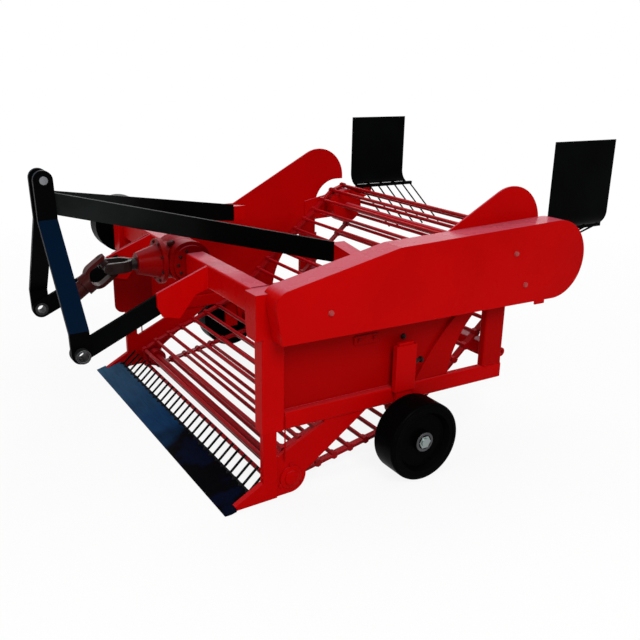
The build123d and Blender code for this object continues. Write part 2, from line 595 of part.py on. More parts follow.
# ---------------------------------------------------------------- drive cover
def cover_outline(inset):
    """The cover's side outline, moved inwards by inset."""
    knee_z = COVER_KNEE_Z - inset
    top_z = COVER_END_Z + COVER_END_RADIUS - inset
    bottom_z = COVER_END_Z - COVER_END_RADIUS + inset
    points = [(COVER_FRONT_Y + inset, COVER_FRONT_TOP - inset), (COVER_KNEE_Y, knee_z),
              (COVER_END_Y, top_z), (COVER_END_Y, bottom_z),
              (COVER_FRONT_Y + COVER_FRONT_RUN + inset, COVER_FRONT_BOTTOM + inset)]
    face = make_face(Polyline(*points, close=True))
    face = fillet(face.vertices().group_by(Axis.X)[0], COVER_FRONT_RADIUS - inset)
    return face + Pos(COVER_END_Y, COVER_END_Z) * Circle(COVER_END_RADIUS - inset)


def drive_cover():
    """Open-backed sheet box over the side drive, notched round the front post."""
    base_x = PLATE_X + PLATE_THICKNESS
    depth = COVER_OUTER_X - base_x
    shell = extrude(Plane.YZ.offset(base_x) * cover_outline(0), depth)
    shell += box_between(COVER_OUTER_X - TAB_THICKNESS, COVER_OUTER_X, TAB_Y, TAB_Y + TAB_LENGTH,
                         TAB_BOTTOM, COVER_END_Z - COVER_END_RADIUS + TAB_THICKNESS)
    shell -= extrude(Plane.YZ.offset(base_x) * cover_outline(COVER_WALL), depth - COVER_WALL)
    post = box_between(base_x, FRAME_X + COVER_CLEARANCE, HEAD_BOX_Y,
                       POST_REAR_Y + COVER_CLEARANCE, BEAM_BOTTOM, FRONT_POST_TOP + COVER_CLEARANCE)
    return shell - post


# ---------------------------------------------------------------- cross members
def front_cross_beam():
    half = FRAME_X - HEAD_BOX_DEPTH
    return tube_between(-half, half, CROSS_Y, CROSS_Y + CROSS_DEPTH, CROSS_BOTTOM,
                        CROSS_BOTTOM + CROSS_HEIGHT, "x")


def rear_cross_tube():
    half = FRAME_X - BEAM_DEPTH
    return tube_between(-half, half, REAR_TUBE_Y - REAR_TUBE_SIZE / 2,
                        REAR_TUBE_Y + REAR_TUBE_SIZE / 2, REAR_TUBE_Z - REAR_TUBE_SIZE / 2,
                        REAR_TUBE_Z + REAR_TUBE_SIZE / 2, "x")


def gearbox():
    """Bevel gearbox saddled on the cross beam: cross barrel, front flange and input neck."""
    reach, cap, radius = GEARBOX_REACH, GEARBOX_BARREL_CAP, GEARBOX_BARREL_RADIUS
    barrel = disc_x(GEARBOX_BARREL_Y, INPUT_Z, radius, -reach, 2 * reach)
    end = disc_x(GEARBOX_BARREL_Y, INPUT_Z, radius - cap, reach, cap)
    barrel += end + mirror(end, about=Plane.YZ)
    flange_rear = GEARBOX_FRONT_Y + GEARBOX_FLANGE
    profile = Polyline((0, NECK_FRONT_Y), (NECK_RADIUS, NECK_FRONT_Y),
                       (NECK_ROOT_RADIUS, GEARBOX_FRONT_Y), (GEARBOX_FLANGE_RADIUS, GEARBOX_FRONT_Y),
                       (GEARBOX_FLANGE_RADIUS, flange_rear), (radius - cap, flange_rear),
                       (radius - cap, GEARBOX_BARREL_Y), (0, GEARBOX_BARREL_Y), close=True)
    front = Pos(0, 0, INPUT_Z) * revolve(make_face(profile), Axis.Y)
    beam = box_between(-reach - cap, reach + cap, CROSS_Y, CROSS_Y + CROSS_DEPTH,
                       CROSS_BOTTOM, CROSS_BOTTOM + CROSS_HEIGHT)
    return barrel + front - beam


def far_disc():
    """Round disc on the right-hand end of the cross shaft."""
    start_x = -FRAME_X - DISC_GAP - DISC_THICKNESS
    disc = prism_x(DISC_Y, DISC_Z, DISC_RADIUS, DISC_SIDES, start_x, DISC_THICKNESS)
    return disc + prism_x(DISC_Y, DISC_Z, DISC_HUB_RADIUS, SHAFT_SIDES, -FRAME_X - DISC_GAP, DISC_GAP)


def guard_plate():
    """Plate outside the right-hand arm bracket, in front of the cross beam."""
    top_z = CROSS_BOTTOM + CROSS_HEIGHT
    outline = Polyline((GUARD_FRONT_Y, GUARD_BOTTOM), (GUARD_FRONT_Y, GUARD_FRONT_TOP),
                       (CROSS_Y, top_z), (CROSS_Y, GUARD_BOTTOM), close=True)
    face = make_face(outline)
    corner = face.vertices().group_by(Axis.X)[0].sort_by(Axis.Y)[0]
    face = fillet(corner, GUARD_CORNER)
    outer_x = MAST_FOOT_X - MAST_THICKNESS / 2 + BRACKET_THICKNESS
    return extrude(Plane.YZ.offset(-outer_x - GUARD_THICKNESS) * face, GUARD_THICKNESS)


# ---------------------------------------------------------------- hitch
def lean(shape):
    """Tilt a shape forward with the mast, about the lower pins."""
    return Pos(0, MAST_Y, LOWER_PIN_Z) * Rot(MAST_LEAN, 0, 0) * Pos(0, -MAST_Y, -LOWER_PIN_Z) * shape


def hitch_leg():
    """Flat bar bent twice: upright at the top link, splayed, upright at the lower pin."""
    top_z = LOWER_PIN_Z + MAST_HEIGHT
    line = Polyline((MAST_TOP_X, top_z), (MAST_TOP_X, LOWER_PIN_Z + MAST_UPPER_BEND),
                    (MAST_FOOT_X, LOWER_PIN_Z + MAST_LOWER_BEND), (MAST_FOOT_X, LOWER_PIN_Z))
    strip = trace(line, MAST_THICKNESS)
    leg = extrude(Plane.XZ.offset(-MAST_Y - MAST_WIDTH / 2) * strip, MAST_WIDTH)
    half = MAST_THICKNESS / 2
    leg += disc_x(MAST_Y, top_z, MAST_WIDTH / 2, MAST_TOP_X - half, MAST_THICKNESS)
    leg += disc_x(MAST_Y, LOWER_PIN_Z, MAST_WIDTH / 2, MAST_FOOT_X - half, MAST_THICKNESS)
    leg -= disc_x(MAST_Y, top_z, TOP_PIN_RADIUS + PIN_CLEARANCE, MAST_TOP_X - half,
                  MAST_THICKNESS)
    leg -= disc_x(MAST_Y, LOWER_PIN_Z, BUSH_RADIUS + PIN_CLEARANCE, MAST_FOOT_X - half,
                  MAST_THICKNESS)
    return lean(leg)


def top_brace():
    """Flat bar on edge, cut to the mast's rear edge and square at its stub."""
    front_y = MAST_Y + MAST_WIDTH / 2
    start = Vector(MAST_TOP_X, front_y, BRACE_FRONT_Z)
    end = Vector(BRACE_REAR_X, BRACE_REAR_Y, BRACE_REAR_Z)
    spare = (end - start).normalized() * 2 * BRACE_HEIGHT
    brace = bar_between(tuple(start - spare), tuple(end + spare), BRACE_HEIGHT, BRACE_THICKNESS)
    behind = lean(box_between(0, PLATE_X, front_y, BRACE_REAR_Y + BRACE_HEIGHT, 0, 2 * BRACE_FRONT_Z))
    before = box_between(0, PLATE_X, 2 * MAST_Y, BRACE_REAR_Y, 0, 2 * BRACE_FRONT_Z)
    return brace & behind & before


def brace_stub():
    """Bar that falls from the brace's rear end to the side plate."""
    inner_x = BRACE_REAR_X - BRACE_THICKNESS
    top = BRACE_REAR_Z + STUB_HEIGHT / 2
    outline = [(inner_x, top), (PLATE_X, top - STUB_DROP),
               (PLATE_X, top - STUB_DROP - STUB_HEIGHT), (inner_x, top - STUB_HEIGHT)]
    face = make_face(Polyline(*outline, close=True))
    return extrude(Plane.XZ.offset(-BRACE_REAR_Y) * face, -STUB_DEPTH)


def lower_arm():
    start = (MAST_FOOT_X - MAST_THICKNESS, MAST_Y, LOWER_PIN_Z)
    end = (MAST_FOOT_X - MAST_THICKNESS, LOWER_ARM_REAR_Y, LOWER_ARM_REAR_Z)
    arm = bar_between(start, end, LOWER_ARM_HEIGHT, LOWER_ARM_THICKNESS)
    half = LOWER_ARM_THICKNESS / 2
    arm += disc_x(MAST_Y, LOWER_PIN_Z, LOWER_ARM_HEIGHT / 2, start[0] - half,
                  LOWER_ARM_THICKNESS)
    return arm - disc_x(MAST_Y, LOWER_PIN_Z, BUSH_RADIUS + PIN_CLEARANCE, start[0] - half,
                        LOWER_ARM_THICKNESS)


def arm_bracket():
    """Gusset from the lower arm's rear end to the front of the cross beam."""
    outline = [(BRACKET_FRONT_Y, CROSS_BOTTOM + BRACKET_FRONT_RISE),
               (CROSS_Y, CROSS_BOTTOM + CROSS_HEIGHT - BRACKET_TOP_STEP), (CROSS_Y, CROSS_BOTTOM),
               (CROSS_Y - BRACKET_HEEL_Y, CROSS_BOTTOM - BRACKET_HEEL_DROP),
               (CROSS_Y - BRACKET_TOE_Y, BRACKET_BOTTOM_Z),
               (BRACKET_FRONT_Y + BRACKET_NOSE_Y, BRACKET_BOTTOM_Z + BRACKET_NOSE_LOW),
               (BRACKET_FRONT_Y, BRACKET_BOTTOM_Z + BRACKET_NOSE_HIGH)]
    return side_plate_of(outline, MAST_FOOT_X - MAST_THICKNESS / 2, BRACKET_THICKNESS)


def lower_bush():
    """Bush through mast plate and lower arm, open for the tractor's pin."""
    inner_x = MAST_FOOT_X - MAST_THICKNESS / 2 - LOWER_ARM_THICKNESS - BUSH_INNER_OVERHANG
    length = MAST_THICKNESS + LOWER_ARM_THICKNESS + BUSH_INNER_OVERHANG + BUSH_OUTER_OVERHANG
    bush = disc_x(MAST_Y, LOWER_PIN_Z, BUSH_RADIUS, inner_x, length)
    return bush - disc_x(MAST_Y, LOWER_PIN_Z, LOWER_BORE_RADIUS, inner_x, length)


def top_pin():
    half = MAST_TOP_X + MAST_THICKNESS / 2 + TOP_PIN_OVERHANG
    return disc_x(TOP_PIN_Y, TOP_PIN_Z, TOP_PIN_RADIUS, -half, 2 * half)


# ---------------------------------------------------------------- cardan joint
def yoke(stub_length, stub_radius):
    """Round-ended fork about the origin: pin axis along X, its stub towards +Y."""
    outer = YOKE_HALF_GAP + YOKE_WALL
    bend_y = YOKE_REACH - outer
    outline = Pos(0, bend_y / 2) * Rectangle(2 * outer, bend_y) + Pos(0, bend_y) * Circle(outer)
    fork = extrude(outline, YOKE_WIDTH / 2, both=True)
    fork += disc_x(0, 0, YOKE_WIDTH / 2, -outer, 2 * outer)
    fork += disc_y(bend_y + YOKE_WALL, YOKE_REACH + stub_length, stub_radius)
    slot = Pos(0, (bend_y - YOKE_WIDTH) / 2) * Rectangle(2 * YOKE_HALF_GAP, bend_y + YOKE_WIDTH)
    slot += Pos(0, bend_y) * Circle(YOKE_HALF_GAP)
    fork -= extrude(slot, 2 * YOKE_HALF_GAP, both=True)
    return fork - disc_x(0, 0, CROSS_PIN_RADIUS, -outer, 2 * outer)


def pto_input():
    """Yoke on the gearbox's input shaft."""
    reach = NECK_FRONT_Y - CARDAN_Y - YOKE_REACH - END_PLAY
    return Pos(0, CARDAN_Y, INPUT_Z) * yoke(reach, STUB_RADIUS)


def pto_cross():
    """Spider with its four pins, along X and across the sloping shaft."""
    reach = YOKE_HALF_GAP + YOKE_WALL - CROSS_PIN_RECESS
    radius = CROSS_PIN_RADIUS - AXLE_CLEARANCE
    pin = extrude(Plane.YZ.offset(-reach) * Circle(radius), 2 * reach)
    upright = extrude(Plane.XY.offset(-reach) * Circle(radius), 2 * reach)
    spider = pin + upright + Box(SPIDER_SIZE, SPIDER_SIZE, SPIDER_SIZE)
    return Pos(0, CARDAN_Y, INPUT_Z) * Rot(SHAFT_SLOPE, 0, 0) * spider


def pto_shaft():
    """Front yoke with its hub and the round shaft that slopes down and forward."""
    front = yoke(SHAFT_HUB_LENGTH, SHAFT_HUB_RADIUS)
    front += disc_y(YOKE_REACH, SHAFT_LENGTH, SHAFT_TUBE_RADIUS)
    front = Rot(0, 90, 0) * Rot(0, 0, 180) * front
    return Pos(0, CARDAN_Y, INPUT_Z) * Rot(SHAFT_SLOPE, 0, 0) * front


# ---------------------------------------------------------------- gauge wheels
def drum(radius, width, rounding):
    """A solid drum about Z whose edges are rounded by a few cone bands."""
    turns = [pi / 2 * index / SHOULDER_BANDS for index in range(SHOULDER_BANDS + 1)]
    low = [(radius - rounding + rounding * sin(turn), rounding - rounding * cos(turn))
           for turn in turns]
    high = [(r, width - z) for r, z in reversed(low)]
    outline = Polyline((0, 0), *low, *high, (0, width), close=True)
    return revolve(Plane.XZ * make_face(outline), Axis.Z)


def wheel():
    """Wide hollow drum with rounded edges and a dished outer face, on a bored hub."""
    width = WHEEL_OUTER_X - WHEEL_INNER_X
    bore = AXLE_RADIUS + AXLE_CLEARANCE
    face_z = width - WHEEL_DISH
    hollow = Polyline((HUB_RADIUS, -WHEEL_WALL), (WHEEL_RADIUS - WHEEL_SHOULDER, -WHEEL_WALL),
                      (WHEEL_RADIUS - WHEEL_SHOULDER, 0),
                      (WHEEL_RADIUS - WHEEL_WALL, WHEEL_SHOULDER),
                      (WHEEL_RADIUS - WHEEL_WALL, width - WHEEL_SHOULDER),
                      (WHEEL_RADIUS - WHEEL_SHOULDER, width - WHEEL_WALL),
                      (WHEEL_DISH_RADIUS + WHEEL_WALL, width - WHEEL_WALL),
                      (WHEEL_DISH_RADIUS + WHEEL_WALL - WHEEL_DISH_SLOPE, face_z - WHEEL_WALL),
                      (HUB_RADIUS, face_z - WHEEL_WALL), close=True)
    dish = Polyline((HUB_RADIUS, face_z), (WHEEL_DISH_RADIUS - WHEEL_DISH_SLOPE, face_z),
                    (WHEEL_DISH_RADIUS, width + 1), (HUB_RADIUS, width + 1), close=True)
    turned = drum(WHEEL_RADIUS, width, WHEEL_SHOULDER)
    turned -= revolve(Plane.XZ * make_face(hollow), Axis.Z)
    turned -= revolve(Plane.XZ * make_face(dish), Axis.Z)
    turned -= Pos(0, 0, width - HUB_RECESS) * extrude(Circle(HUB_RADIUS), WHEEL_DISH)
    turned -= extrude(Circle(bore), width)
    return Pos(WHEEL_INNER_X, WHEEL_Y, WHEEL_RADIUS) * Rot(0, 90, 0) * turned


def wheel_leg():
    """Sleeve on the beam, flat leg through it and the stub axle with its nut."""
    middle_y = WHEEL_Y - SLEEVE_AHEAD
    leg_x = FRAME_X + LEG_GAP
    sleeve_top = SLEEVE_BOTTOM + SLEEVE_HEIGHT
    sleeve = box_between(FRAME_X, FRAME_X + SLEEVE_DEPTH, middle_y - SLEEVE_WIDTH / 2,
                         middle_y + SLEEVE_WIDTH / 2, SLEEVE_BOTTOM, sleeve_top)
    leg = box_between(leg_x, leg_x + LEG_THICKNESS, middle_y - LEG_WIDTH / 2,
                      middle_y + LEG_WIDTH / 2, WHEEL_RADIUS - LEG_BELOW_AXLE,
                      sleeve_top + LEG_ABOVE_SLEEVE)
    axle = disc_x(WHEEL_Y, WHEEL_RADIUS, AXLE_RADIUS, leg_x, WHEEL_OUTER_X + AXLE_END - leg_x)
    collar = disc_x(WHEEL_Y, WHEEL_RADIUS, AXLE_RADIUS + COLLAR_STEP, leg_x,
                    WHEEL_INNER_X - END_PLAY - leg_x)
    nut_x = WHEEL_OUTER_X - HUB_RECESS + END_PLAY
    nut = extrude(Plane.YZ.offset(nut_x) * Pos(WHEEL_Y, WHEEL_RADIUS)
                  * RegularPolygon(NUT_RADIUS, 6), NUT_HEIGHT)
    return sleeve + leg + axle + collar + nut


# ---------------------------------------------------------------- rear flaps
def flap_bar():
    """X and Z of the bar under the flap's curled edge."""
    angle = radians(FLAP_CURL_ANGLE)
    radius = FLAP_CURL_RADIUS - FLAP_THICKNESS / 2
    drop = FLAP_BAR_GAP + FLAP_BAR_SIZE / 2
    curl_x = FLAP_OUTER_X - FLAP_CURL_RADIUS
    return (curl_x + radius * cos(angle) - drop * sin(angle),
            FLAP_STRAIGHT_BOTTOM - radius * sin(angle) - drop * cos(angle))


def rear_flap():
    """Upright sheet whose lower edge curls inwards to a bar that carries spring rods."""
    rear_y = FLAP_FRONT_Y + FLAP_LENGTH
    curl_x = FLAP_OUTER_X - FLAP_CURL_RADIUS
    sheet = box_between(FLAP_OUTER_X - FLAP_THICKNESS, FLAP_OUTER_X, FLAP_FRONT_Y, rear_y,
                        FLAP_STRAIGHT_BOTTOM, FLAP_TOP)
    outer, inner = FLAP_CURL_RADIUS, FLAP_CURL_RADIUS - FLAP_THICKNESS
    angle = radians(FLAP_CURL_ANGLE)
    low = lambda r: (curl_x + r * cos(angle), FLAP_STRAIGHT_BOTTOM - r * sin(angle))
    mid = lambda r: (curl_x + r * cos(angle / 2), FLAP_STRAIGHT_BOTTOM - r * sin(angle / 2))
    band = make_face([ThreePointArc((curl_x + outer, FLAP_STRAIGHT_BOTTOM), mid(outer), low(outer)),
                      Line(low(outer), low(inner)),
                      ThreePointArc(low(inner), mid(inner), (curl_x + inner, FLAP_STRAIGHT_BOTTOM)),
                      Line((curl_x + inner, FLAP_STRAIGHT_BOTTOM),
                           (curl_x + outer, FLAP_STRAIGHT_BOTTOM))])
    curl = extrude(Plane.XZ.offset(-FLAP_FRONT_Y) * band, -FLAP_LENGTH)
    edge = low((outer + inner) / 2)
    bar_x, bar_z = flap_bar()
    half = FLAP_BAR_SIZE / 2
    flap = sheet + curl
    flap += box_between(bar_x - half, bar_x + half, FLAP_FRONT_Y, rear_y + FLAP_BAR_OVERHANG,
                        bar_z - half, bar_z + half)
    tab_step = (FLAP_LENGTH - 2 * FLAP_TAB_INSET) / (FLAP_TABS - 1)
    for index in range(FLAP_TABS):
        tab_y = FLAP_FRONT_Y + FLAP_TAB_INSET + index * tab_step
        flap += bar_between((edge[0] + FLAP_THICKNESS, tab_y, edge[1] + FLAP_THICKNESS / 2),
                            (bar_x, tab_y, bar_z), FLAP_TAB_WIDTH, FLAP_TAB_THICKNESS)
    run = hypot(GRID_ROD_RUN, GRID_ROD_DROP)
    rod_step = (FLAP_LENGTH - GRID_INSET_FRONT + GRID_OVERHANG_REAR) / (GRID_RODS - 1)
    for index in range(GRID_RODS):
        rod_y = FLAP_FRONT_Y + GRID_INSET_FRONT + index * rod_step
        rod = Plane(origin=(bar_x, rod_y, bar_z), z_dir=(-GRID_ROD_RUN, 0, -GRID_ROD_DROP))
        flap += extrude(rod * RegularPolygon(GRID_ROD_RADIUS, GRID_ROD_SIDES), run)
    return flap


# ---------------------------------------------------------------- all nodes
def main():
    os.makedirs("parts", exist_ok=True)
    both_sides("front_post", front_post())
    both_sides("lower_beam", lower_beam())
    both_sides("rear_post", rear_post())
    both_sides("side_plate", side_plate())
    both_sides("side_foot", side_foot())
    save("share_blade", share_blade())
    save("share_comb", share_comb())
    save("conveyor_chain", conveyor_chain())
    save("front_idler", roll(IDLER_Y, IDLER_Z, IDLER_PITCH_RADIUS, FRAME_X))
    return_reach = HANGER_OUTER_X + RETURN_SHAFT_OVERHANG
    save("return_idler", roll(RETURN_Y, RETURN_Z, RETURN_PITCH_RADIUS, return_reach))
    save("head_shaft", roll(HEAD_Y, HEAD_Z, HEAD_PITCH_RADIUS, PLATE_X + HEAD_SHAFT_OVERHANG))
    both_sides("head_arm", head_arm())
    save("drive_cover", drive_cover())
    save("front_cross_beam", front_cross_beam())
    save("rear_cross_tube", rear_cross_tube())
    save("gearbox", gearbox())
    save("far_disc", far_disc())
    save("guard_plate_right", guard_plate())
    both_sides("hitch_leg", hitch_leg())
    both_sides("top_brace", top_brace())
    both_sides("brace_stub", brace_stub())
    both_sides("lower_arm", lower_arm())
    both_sides("arm_bracket", arm_bracket())
    both_sides("lower_bush", lower_bush())
    save("top_pin", top_pin())
    save("pto_input", pto_input())
    save("pto_cross", pto_cross())
    save("pto_shaft", pto_shaft())
    both_sides("wheel", wheel())
    both_sides("wheel_leg", wheel_leg())
    both_sides("rear_flap", rear_flap())


main()
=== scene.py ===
"""Looks of the potato digger: paints, steels, the fine detail and the studio."""
import math

import bmesh
import bpy
from mathutils import Matrix, Vector


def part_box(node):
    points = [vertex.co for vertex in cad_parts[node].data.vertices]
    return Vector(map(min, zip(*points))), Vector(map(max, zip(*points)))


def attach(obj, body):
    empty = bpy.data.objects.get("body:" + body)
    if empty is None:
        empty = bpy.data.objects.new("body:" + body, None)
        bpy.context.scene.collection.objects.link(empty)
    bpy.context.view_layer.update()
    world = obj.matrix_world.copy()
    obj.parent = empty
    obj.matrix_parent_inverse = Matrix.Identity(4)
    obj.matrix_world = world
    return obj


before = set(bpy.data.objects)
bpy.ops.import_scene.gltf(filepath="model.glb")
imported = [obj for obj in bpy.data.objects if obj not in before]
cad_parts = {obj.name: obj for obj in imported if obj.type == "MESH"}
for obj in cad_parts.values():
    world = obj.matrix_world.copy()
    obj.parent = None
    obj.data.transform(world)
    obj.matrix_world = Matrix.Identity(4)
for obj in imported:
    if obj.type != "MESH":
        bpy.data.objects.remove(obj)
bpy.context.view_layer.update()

# ---------------------------------------------------------------- camera
CAMERA_PLACE = (2.4733, -1.43586, 1.2674)
CAMERA_RIGHT = Vector((0.5196, 0.8542, 0.0181))
CAMERA_UP = Vector((-0.2779, 0.1489, 0.9490))
LENS_MM = 43.83
SENSOR_MM = 36.0


def make_camera():
    """The photograph's camera: its place, its turn and its lens."""
    data = bpy.data.cameras.new("camera")
    data.lens = LENS_MM
    data.sensor_width = SENSOR_MM
    camera = bpy.data.objects.new("camera", data)
    bpy.context.scene.collection.objects.link(camera)
    right = CAMERA_RIGHT.normalized()
    back = right.cross(CAMERA_UP).normalized()
    up = back.cross(right)
    turn = Matrix((right, up, back)).transposed()
    camera.matrix_world = Matrix.Translation(CAMERA_PLACE) @ turn.to_4x4()
    bpy.context.scene.camera = camera


make_camera()


# ---------------------------------------------------------------- materials
SHADE_LINE = (0.50, 0.60)    # heights between which the painted shade under the cover gives way to the full coat
CLOUD_GRAIN = 3.1            # scales of the noise in a coat of enamel, per metre
SPECK_GRAIN = 240.0
CHIP_GRAIN = 75.0
HAZE_GRAIN = 9.0
# grain that breaks up the painted sheen on level tops
SHEEN_GRAIN = 170.0
WAVE_GRAIN = 7.0
PEEL_GRAIN = 520.0
SCALE_GRAIN = 60.0           # scales of the noise on bare steel
PIT_GRAIN = 300.0
WORN_EDGE = 0.0025           # radius within which an edge counts as worn
COAT_EDGE = 0.0018           # radii that edges are rounded by in the shading
STEEL_EDGE = 0.0012
PAINT_EDGE = 0.001           # width over which a coat ends on bare steel
LEVEL_FACE = (0.72, 0.96)    # how far a normal points up where the painted sheen starts and is full
LEANING_FACE = (0.18, 0.42)  # the same for the painted sky reflection, a blue tint, on faces that lean
TOO_LEVEL = (0.86, 0.97)     # and where that painted reflection ends again
EDGE_TURN = (0.97, 0.80)     # dot of a rounded and a plain normal where wear starts and is full
BEVEL_SAMPLES = 4
FAR_SCALE = (-0.62, -0.10)   # places along X where the share's far tone passes into the middle
NEAR_SCALE = (0.00, 0.14)    # and the middle one into the near


class Nodes:
    """A material's node tree with short calls for the nodes it needs."""

    def __init__(self, name):
        self.material = bpy.data.materials.new(name)
        self.material.use_nodes = True
        self.tree = self.material.node_tree
        self.shader = self.tree.nodes["Principled BSDF"]
        self.place = self.tree.nodes.new("ShaderNodeTexCoord").outputs["Object"]

    def link(self, source, target):
        """Join an output socket to an input socket."""
        self.tree.links.new(source, target)

    def noise(self, scale, detail=3.0, rough=0.5, stretch=None):
        """Cloudy values about 0.5; stretch squeezes them along an axis."""
        node = self.tree.nodes.new("ShaderNodeTexNoise")
        node.inputs["Scale"].default_value = scale
        node.inputs["Detail"].default_value = detail
        node.inputs["Roughness"].default_value = rough
        place = self.place
        if stretch:
            mapping = self.tree.nodes.new("ShaderNodeMapping")
            mapping.inputs["Scale"].default_value = stretch
            self.link(self.place, mapping.inputs["Vector"])
            place = mapping.outputs["Vector"]
        self.link(place, node.inputs["Vector"])
        return node.outputs["Fac"]

    def ramp(self, source, low, high, start=0.0, end=1.0):
        """Values from low to high, spread from start to end and held beyond."""
        node = self.tree.nodes.new("ShaderNodeMapRange")
        node.inputs["From Min"].default_value = low
        node.inputs["From Max"].default_value = high
        node.inputs["To Min"].default_value = start
        node.inputs["To Max"].default_value = end
        self.link(source, node.inputs["Value"])
        return node.outputs["Result"]

    def mix(self, factor, first, second):
        """First colour at factor 0, second at factor 1."""
        node = self.tree.nodes.new("ShaderNodeMix")
        node.data_type = "RGBA"
        self.link(factor, node.inputs["Factor"])
        for value, socket in ((first, node.inputs["A"]), (second, node.inputs["B"])):
            if isinstance(value, tuple):
                socket.default_value = (*value, 1.0)
            else:
                self.link(value, socket)
        return node.outputs["Result"]

    def math(self, kind, first, second=0.0):
        """One step of arithmetic on one or two values."""
        node = self.tree.nodes.new("ShaderNodeMath")
        node.operation = kind
        for value, socket in ((first, node.inputs[0]), (second, node.inputs[1])):
            if isinstance(value, (int, float)):
                socket.default_value = value
            else:
                self.link(value, socket)
        return node.outputs[0]

    def part(self, vector, axis):
        """One of X, Y, Z of a vector."""
        node = self.tree.nodes.new("ShaderNodeSeparateXYZ")
        self.link(vector, node.inputs["Vector"])
        return node.outputs[axis]

    def facing(self):
        """The surface's normal."""
        return self.tree.nodes.new("ShaderNodeNewGeometry").outputs["Normal"]

    def bump(self, height, strength, distance, normal=None):
        """A normal dented by height, on top of another normal."""
        node = self.tree.nodes.new("ShaderNodeBump")
        node.inputs["Strength"].default_value = strength
        node.inputs["Distance"].default_value = distance
        self.link(height, node.inputs["Height"])
        if normal is not None:
            self.link(normal, node.inputs["Normal"])
        return node.outputs["Normal"]

    def round_edges(self, radius):
        """A normal that rounds sharp edges off in the shading."""
        node = self.tree.nodes.new("ShaderNodeBevel")
        node.samples = BEVEL_SAMPLES
        node.inputs["Radius"].default_value = radius
        return node.outputs["Normal"]

    def edge_mask(self, radius):
        """0 on flat places, rising towards edges."""
        dot = self.tree.nodes.new("ShaderNodeVectorMath")
        dot.operation = "DOT_PRODUCT"
        self.link(self.round_edges(radius), dot.inputs[0])
        self.link(self.facing(), dot.inputs[1])
        return self.ramp(dot.outputs["Value"], *EDGE_TURN)


def enamel_colour(made, light, dark, worn, wear):
    """Cloudy sprayed colour with dust specks and chips along the edges."""
    cloud = made.ramp(made.noise(CLOUD_GRAIN, 4.0), 0.35, 0.68)
    colour = made.mix(cloud, light, dark)
    speck = made.ramp(made.noise(SPECK_GRAIN, 2.0), 0.60, 0.72, 0.0, 0.18)
    colour = made.mix(speck, colour, worn)
    chips = made.ramp(made.noise(CHIP_GRAIN, 5.0, 0.65), 0.56, 0.64, 0.0, wear)
    chipped = made.math("MULTIPLY", made.edge_mask(WORN_EDGE), chips)
    return made.mix(chipped, colour, worn)


def enamel_surface(made, gloss, specular):
    """Haze and orange peel of a sprayed coat, with softly rounded edges."""
    haze = made.ramp(made.noise(HAZE_GRAIN, 5.0, 0.6), 0.3, 0.7, gloss, gloss + 0.12)
    made.link(haze, made.shader.inputs["Roughness"])
    made.shader.inputs["Specular IOR Level"].default_value = specular
    wave = made.bump(made.noise(WAVE_GRAIN, 2.0), 0.10, 0.02, made.round_edges(COAT_EDGE))
    peel = made.bump(made.noise(PEEL_GRAIN, 2.0), 0.05, 0.0008, wave)
    made.link(peel, made.shader.inputs["Normal"])


def paint(name, light, dark, worn, gloss, wear, specular, haze=None, shaded=None):
    """Enamel; haze is a painted sheen on level tops, a white sky reflected pink, and shaded is
    painted shade, a darker coat below the cover.
    """
    made = Nodes(name)
    colour = enamel_colour(made, light, dark, worn, wear)
    # painted shade: below the shade line the coat takes the shaded colour, for the cover's
    # shadow
    if shaded:
        height = made.part(made.place, "Z")
        colour = made.mix(made.ramp(height, *SHADE_LINE), shaded, colour)
    # painted sheen: level tops are mixed towards the haze colour, a pink reflection of a white
    # sky broken up by a grain
    if haze:
        grain = made.ramp(made.noise(SHEEN_GRAIN, 4.0, 0.7), 0.3, 0.7, 0.6, 1.0)
        level = made.ramp(made.part(made.facing(), "Z"), *LEVEL_FACE)
        colour = made.mix(made.math("MULTIPLY", grain, level), colour, haze)
    made.link(colour, made.shader.inputs["Base Color"])
    enamel_surface(made, gloss, specular)
    return made.material


def fading_paint(name, front, rear, worn, start, end, gloss, specular):
    """Enamel that fades along Y from one tone at start to another at end."""
    made = Nodes(name)
    along = made.ramp(made.part(made.place, "Y"), start, end)
    coat = made.mix(along, front, rear)
    made.link(enamel_colour(made, coat, rear, worn, 0.3), made.shader.inputs["Base Color"])
    enamel_surface(made, gloss, specular)
    return made.material


def sky_reflection_paint(name, light, dark, worn, blue, gloss, specular):
    """Black enamel with a painted reflection: faces that lean upwards carry a blue tint for the
    sky they mirror.
    """
    made = Nodes(name)
    base = enamel_colour(made, light, dark, worn, 0.3)
    lean = made.part(made.facing(), "Z")
    upward = made.ramp(lean, *LEANING_FACE)
    level = made.ramp(lean, *TOO_LEVEL, 1.0, 0.0)
    painted_reflection = made.math("MULTIPLY", upward, level)
    made.link(made.mix(painted_reflection, base, blue), made.shader.inputs["Base Color"])
    enamel_surface(made, gloss, specular)
    return made.material


def steel_surface(made, smooth, rough, streak=None):
    """Grain and fine pits of bare steel, with softly rounded edges."""
    grain = made.ramp(made.noise(SCALE_GRAIN, 4.0, 0.6, streak), 0.3, 0.7, smooth, rough)
    made.link(grain, made.shader.inputs["Roughness"])
    pits = made.bump(made.noise(PIT_GRAIN, 4.0), 0.15, 0.001, made.round_edges(STEEL_EDGE))
    made.link(pits, made.shader.inputs["Normal"])


def steel(name, light, dark, rough, metallic, specular=0.3):
    """Bar or plate with blotches of scale."""
    made = Nodes(name)
    cloud = made.ramp(made.noise(6.0, 5.0, 0.6), 0.32, 0.68)
    made.link(made.mix(cloud, light, dark), made.shader.inputs["Base Color"])
    made.shader.inputs["Metallic"].default_value = metallic
    made.shader.inputs["Specular IOR Level"].default_value = specular
    steel_surface(made, rough, rough + 0.2)
    return made.material


